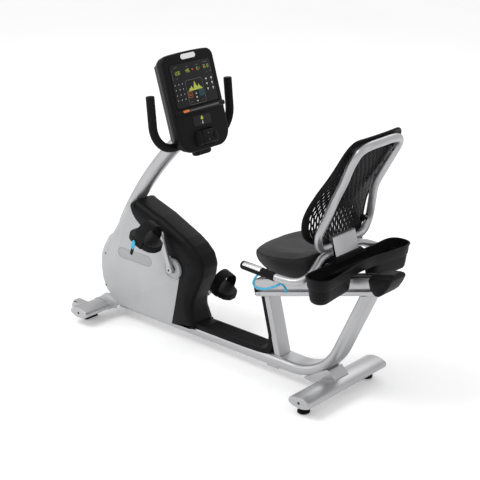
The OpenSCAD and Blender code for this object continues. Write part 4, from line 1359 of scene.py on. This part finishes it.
border = [(-1 + 2 * k / 24, 0.0) for k in range(24)] + [(1, k / 44) for k in range(44)]
border += [(1 - 2 * k / 24, 1.0) for k in range(24)] + [(-1, 1 - k / 44) for k in range(44)]
rim_path = smooth(np.array([shell_point(u, t) for u, t in border]), 3)
piece("back_shell_rim", tube(rim_path, SHELL_RIM_R, 14, closed=True), BLACK_COVER, "seat")

LOOP_HALF = [(600, 0, 706), (600, -80, 706), (600, -120, 707), (603, -148, 718),
             (609, -163, 748), (619, -167, 790), (642, -148, 862), (665, -132, 935),
             (704, -134, 1011), (740, -144, 1082), (762, -144, 1122), (774, -132, 1148),
             (781, -104, 1161), (784, -60, 1166), (784, 0, 1166)]
loop_path = curve(LOOP_HALF + [(x, -y, z) for x, y, z in LOOP_HALF[-2:0:-1]], 5, closed=True)
piece("back_loop", tube(loop_path, LOOP_R, 28, closed=True), SILVER, "seat",
      ["back_frame"], crisp=60)


def clip(x, y, z, slope):
    """A rubber stand-off that ties the shell to the loop."""
    plan = box(30, 18, 5, (0, 0))
    c, d = math.cos(slope), math.sin(slope)
    return prism(plan, lambda u, v, w: (x + w * c + u * d, y + v, z - w * d + u * c), -30, 8, 2, 2)


clips = [clip(x, s * y, z, math.radians(a)) for s in (-1, 1)
         for x, y, z, a in ((610, 158, 762, 8), (757, 140, 1118, 28))]
loop_bolts = []
for s in (-1, 1):
    for x, y, z in ((618, 150, 790), (752, 124, 1100)):
        loop_bolts.append(lathe([(0, 0), (4.2, 0), (4.2, 4), (3, 6), (0, 6)],
                                lambda u, v, w, x=x, z=z, y=y, s=s: (x + u, s * (y - w), z + v),
                                (0, 0), 18))
piece("back_clips", both(*clips, *loop_bolts), RUBBER, "seat")

cheek = rounded([(592, 745), (613, 741), (639, 650), (637, 575), (560, 561), (536, 563),
                 (565, 597), (598, 662), (590, 700)], [3, 3, 8, 6, 4, 6, 20, 20, 10], 4)
cheeks = [slab(cheek, s, 71.6, 76, 0.9, steps=2) for s in (-1, 1)]
cover = prism(rounded([(609, 742), (613.5, 741.5), (640, 650), (638, 575), (633, 575), (635, 650)],
                      [1, 2.5, 12, 2, 1, 12], 4), across, -76, 76, 1.0, 1.0, 2)
lip = prism(rounded([(588, 742), (613, 741), (613.4, 745), (588, 746.5)], 1.2, 2), across,
            -76, 76, 0.8, 0.8, 2)
piece("back_bracket_cover", both(*cheeks, cover, lip), SILVER, "seat",
      ["back_bracket"], crisp=40)

# ---- side handlebars ----

SIDE_HALF = [(306, -280, 607), (360, -280, 604.5), (420, -280, 601.5), (484, -280, 599),
             (530, -280, 598.5), (572, -276, 601), (600, -262, 607), (616, -238, 620),
             (619, -208, 636), (612, -175, 651), (602, -140, 663), (598, -100, 669),
             (597, -50, 671), (597, 0, 671)]
piece("side_bar", tube(curve(mirrored(SIDE_HALF), 4), SIDE_BAR_R, 28), SILVER, "seat",
      ["side_handlebars"], crisp=60)


def at_grip(side):
    """h runs to the rear along the grip from its front end."""
    a = math.radians(2.6)
    return lambda u, v, h: (302 + h * math.cos(a) - u * math.sin(a), side * (280 + v),
                            607.3 - h * math.sin(a) - u * math.cos(a))


GRIP_R = 18.6
sleeves, contacts = [], []
for side, _ in SIDES:
    place = at_grip(side)
    sleeves.append(lathe([(0, 0), (9, 0), (14, 1.2), (17.5, 4.5), (GRIP_R, 9), (GRIP_R, 172),
                          (GRIP_R - 0.6, 176), (GRIP_R, 178), (17.8, 182), (15.5, 182)],
                         place, (0, 0), 40))
    for start, end in ((112, 176), (184, 248)):
        rows = []
        for h, lift in ((16, 0.2), (17.5, 1.0), (20, 1.3), (106, 1.3), (108.5, 1.0), (110, 0.2)):
            outer = arc((0, 0), GRIP_R + lift, start, end, 12)
            inner = arc((0, 0), GRIP_R - 1.5, end, start, 12)
            rows.append([place(u, v, h) for u, v in outer + inner])
        contacts.append(loft(rows))
piece("side_grip_sleeves", both(*sleeves), FOAM, "seat", ["side_grips"])
piece("pulse_contacts", both(*contacts), CONTACT, "seat",
      ["heart_rate_contacts"], crisp=40)

# ---- accessory tray ----

POD_PLACES = ((696, 256, 54), (688, 108, 44))
TRAY_WALL = 3.2


def capsule(places, steps=20):
    """Round two circles into one outline."""
    (x0, y0, r0), (x1, y1, r1) = places
    way = math.degrees(math.atan2(y1 - y0, x1 - x0))
    gap = math.hypot(x1 - x0, y1 - y0)
    tilt = math.degrees(math.acos((r0 - r1) / gap))
    first = arc((x0, y0), r0, way + tilt, way + 360 - tilt, steps)
    return first + arc((x1, y1), r1, way - tilt, way + tilt, steps)


def rim_plan():
    """The whole tray's rim: two lobes that flow into a narrower middle."""
    rear = [(725, 0), (725, 40), (727, 75), (733, 110), (741, 160), (748, 210), (751, 252),
            (744, 286), (724, 305), (696, 310.5), (668, 305), (648, 286), (641, 254),
            (642, 210), (643, 160), (641, 110), (638, 70), (637, 30), (637, 0)]
    line = curve([(x, y, 0) for x, y in rear], 3)
    half = [(p[0], p[1]) for p in line]
    return half + [(x, -y) for x, y in reversed(half[1:-1])]


def pod(side, grow):
    """One lobe down to its rounded floor. grow is negative for its inside."""
    levels = [(540, 30), (541.5, 23), (546, 17), (553, 13), (565, 10.5), (600, 6), (640, 2)]
    levels += [(650 if grow == 0 else 665, 1)]
    levels = [(z + TRAY_WALL if grow and z < 560 else z, depth - grow) for z, depth in levels]
    return stack(capsule(POD_PLACES), levels, lambda u, v, w: (u, side * v, w))


def basin(grow):
    """The tray's shallow upper part, which joins the lobes. grow is negative for its inside."""
    levels = [(604, 12), (606, 7), (612, 4), (640, 1.4), (TRAY_Z - 2, 0)]
    levels += [(TRAY_Z, 0.8)] if grow == 0 else [(TRAY_Z + 12, 0)]
    levels = [(z + TRAY_WALL if grow and z < 620 else z, depth - grow + 0.001)
              for z, depth in levels]
    return stack(rim_plan(), levels)


piece("accessory_tray_shell", basin(0), BLACK, "seat", ["accessory_tray"],
      crisp=45, unions=[pod(-1, 0), pod(1, 0)],
      cuts=[basin(-TRAY_WALL), pod(-1, -TRAY_WALL), pod(1, -TRAY_WALL)])
rim_line = [(u, v, TRAY_Z - 1.5) for u, v in inset(rim_plan(), -0.8)]
piece("tray_rim", tube(rim_line, TRAY_RIM_R, 10, closed=True), BLACK_COVER, "seat")
shelf = both(
    prism(rounded([(596, -104), (652, -104), (652, 104), (596, 104)], [12, 4, 4, 12]), flat,
          640, 652, 2, 3),
    prism(rounded([(602, -98), (650, -98), (650, 98), (602, 98)], [10, 4, 4, 10]), flat,
          651, 660, 2, 0),
    prism(rounded([(608, -90), (648, -90), (648, 90), (608, 90)], [8, 4, 4, 8]), flat,
          659, 667, 2, 0))
piece("bracket_shelf", shelf, BLACK, "seat")

# ---- lever ----

LEVER_HALF = [(372, -66, 486), (372, -100, 486), (369, -113, 486), (358, -119, 479),
              (340, -121, 468), (295, -121, 446), (255, -121, 438), (232, -120, 441),
              (222, -117, 452), (226, -112, 472), (238, -104, 492), (248, -90, 502),
              (253, -60, 506), (254, -25, 506), (254, 0, 506)]
lever = tube(curve(mirrored(LEVER_HALF), 4), LEVER_R, 16)


def hook(side):
    """The short end that curls down behind the lever's pivot."""
    path = curve([(374, side * 112, 487), (392, side * 119, 486), (405, side * 121, 478),
                  (408, side * 121, 466), (402, side * 120, 459)], 4)
    return tube(path, HOOK_R, 14, dome=3)


piece("adjust_lever_bar", both(lever, pair(hook)), CYAN, "lever_body",
      ["adjust_lever"])

# ---- CAD nodes: each gets its slot's finish, and those not replaced show it ----

LOOKS = {
    "silver_paint": SILVER, "grey_casing": GREY, "black_plastic": BLACK, "gloss_black": GLOSS,
    "rubber_black": RUBBER, "foam_grip": FOAM, "cyan_plastic": CYAN, "rail_aluminium": RAIL,
    "dark_metal": DARK_METAL, "steel": STEEL, "white_plastic": WHITE,
    "contact_silver": CONTACT}
for entry in frame["record"]["subparts"]:
    obj = frame["nodes"][entry["node"]]
    obj.data.materials.clear()
    obj.data.materials.append(LOOKS.get(entry["material_slot"], DARK_METAL))

# ---- studio ----

FLOOR_HALF = 300
AIR_STRENGTH = 0.84
LIT_AT = (0, 0, 0.6)
LIGHTS = (  # name, place, width and power, in metres and watts
    ("key", (-1.6, -3.0, 5.2), 2.4, 120), ("fill", (-4.6, -3.0, 2.2), 3.0, 36),
    ("rim", (-1.5, 4.2, 4.2), 3.0, 40), ("rear", (5.0, 1.6, 2.6), 2.4, 12))
AZIMUTH, HEIGHT, DISTANCE = math.radians(41.853), math.radians(20.489), 5.64
LOOK_AT = (0.040, 0, 0.5715)
SENSOR, LENS = 36, 95.475
CLIP = (0.1, 200)


def studio():
    """A pale floor, four soft lights and even white air."""
    plane = bpy.data.meshes.new("studio_floor")
    half = FLOOR_HALF
    plane.from_pydata([(-half, -half, 0), (half, -half, 0), (half, half, 0), (-half, half, 0)],
                      [], [(0, 1, 2, 3)])
    ground = bpy.data.objects.new("studio_floor", plane)
    bpy.context.scene.collection.objects.link(ground)
    plane.materials.append(FLOOR)
    for name, spot, size, power in LIGHTS:
        data = bpy.data.lights.new(name, "AREA")
        data.size, data.energy = size, power
        lamp = bpy.data.objects.new(name, data)
        lamp.location = spot
        lamp.rotation_euler = (Vector(LIT_AT) - Vector(spot)).to_track_quat("-Z", "Y").to_euler()
        bpy.context.scene.collection.objects.link(lamp)
    world = bpy.data.worlds.new("studio_air")
    world.use_nodes = True
    world.node_tree.nodes["Background"].inputs["Color"].default_value = (1, 1, 1, 1)
    world.node_tree.nodes["Background"].inputs["Strength"].default_value = AIR_STRENGTH
    bpy.context.scene.world = world
    bpy.context.scene.view_settings.view_transform = "Standard"


def camera():
    """The photograph's angle: from the rear left, a little above the seat."""
    data = bpy.data.cameras.new("camera")
    data.sensor_width, data.lens = SENSOR, LENS
    data.clip_start, data.clip_end = CLIP
    cam = bpy.data.objects.new("camera", data)
    back = Vector((math.sin(AZIMUTH) * math.cos(HEIGHT), -math.cos(AZIMUTH) * math.cos(HEIGHT),
                   math.sin(HEIGHT)))
    cam.location = Vector(LOOK_AT) + back * DISTANCE
    cam.rotation_mode = "QUATERNION"
    cam.rotation_quaternion = (-back).to_track_quat("-Z", "Y")
    bpy.context.scene.collection.objects.link(cam)
    bpy.context.scene.camera = cam


studio()
camera()
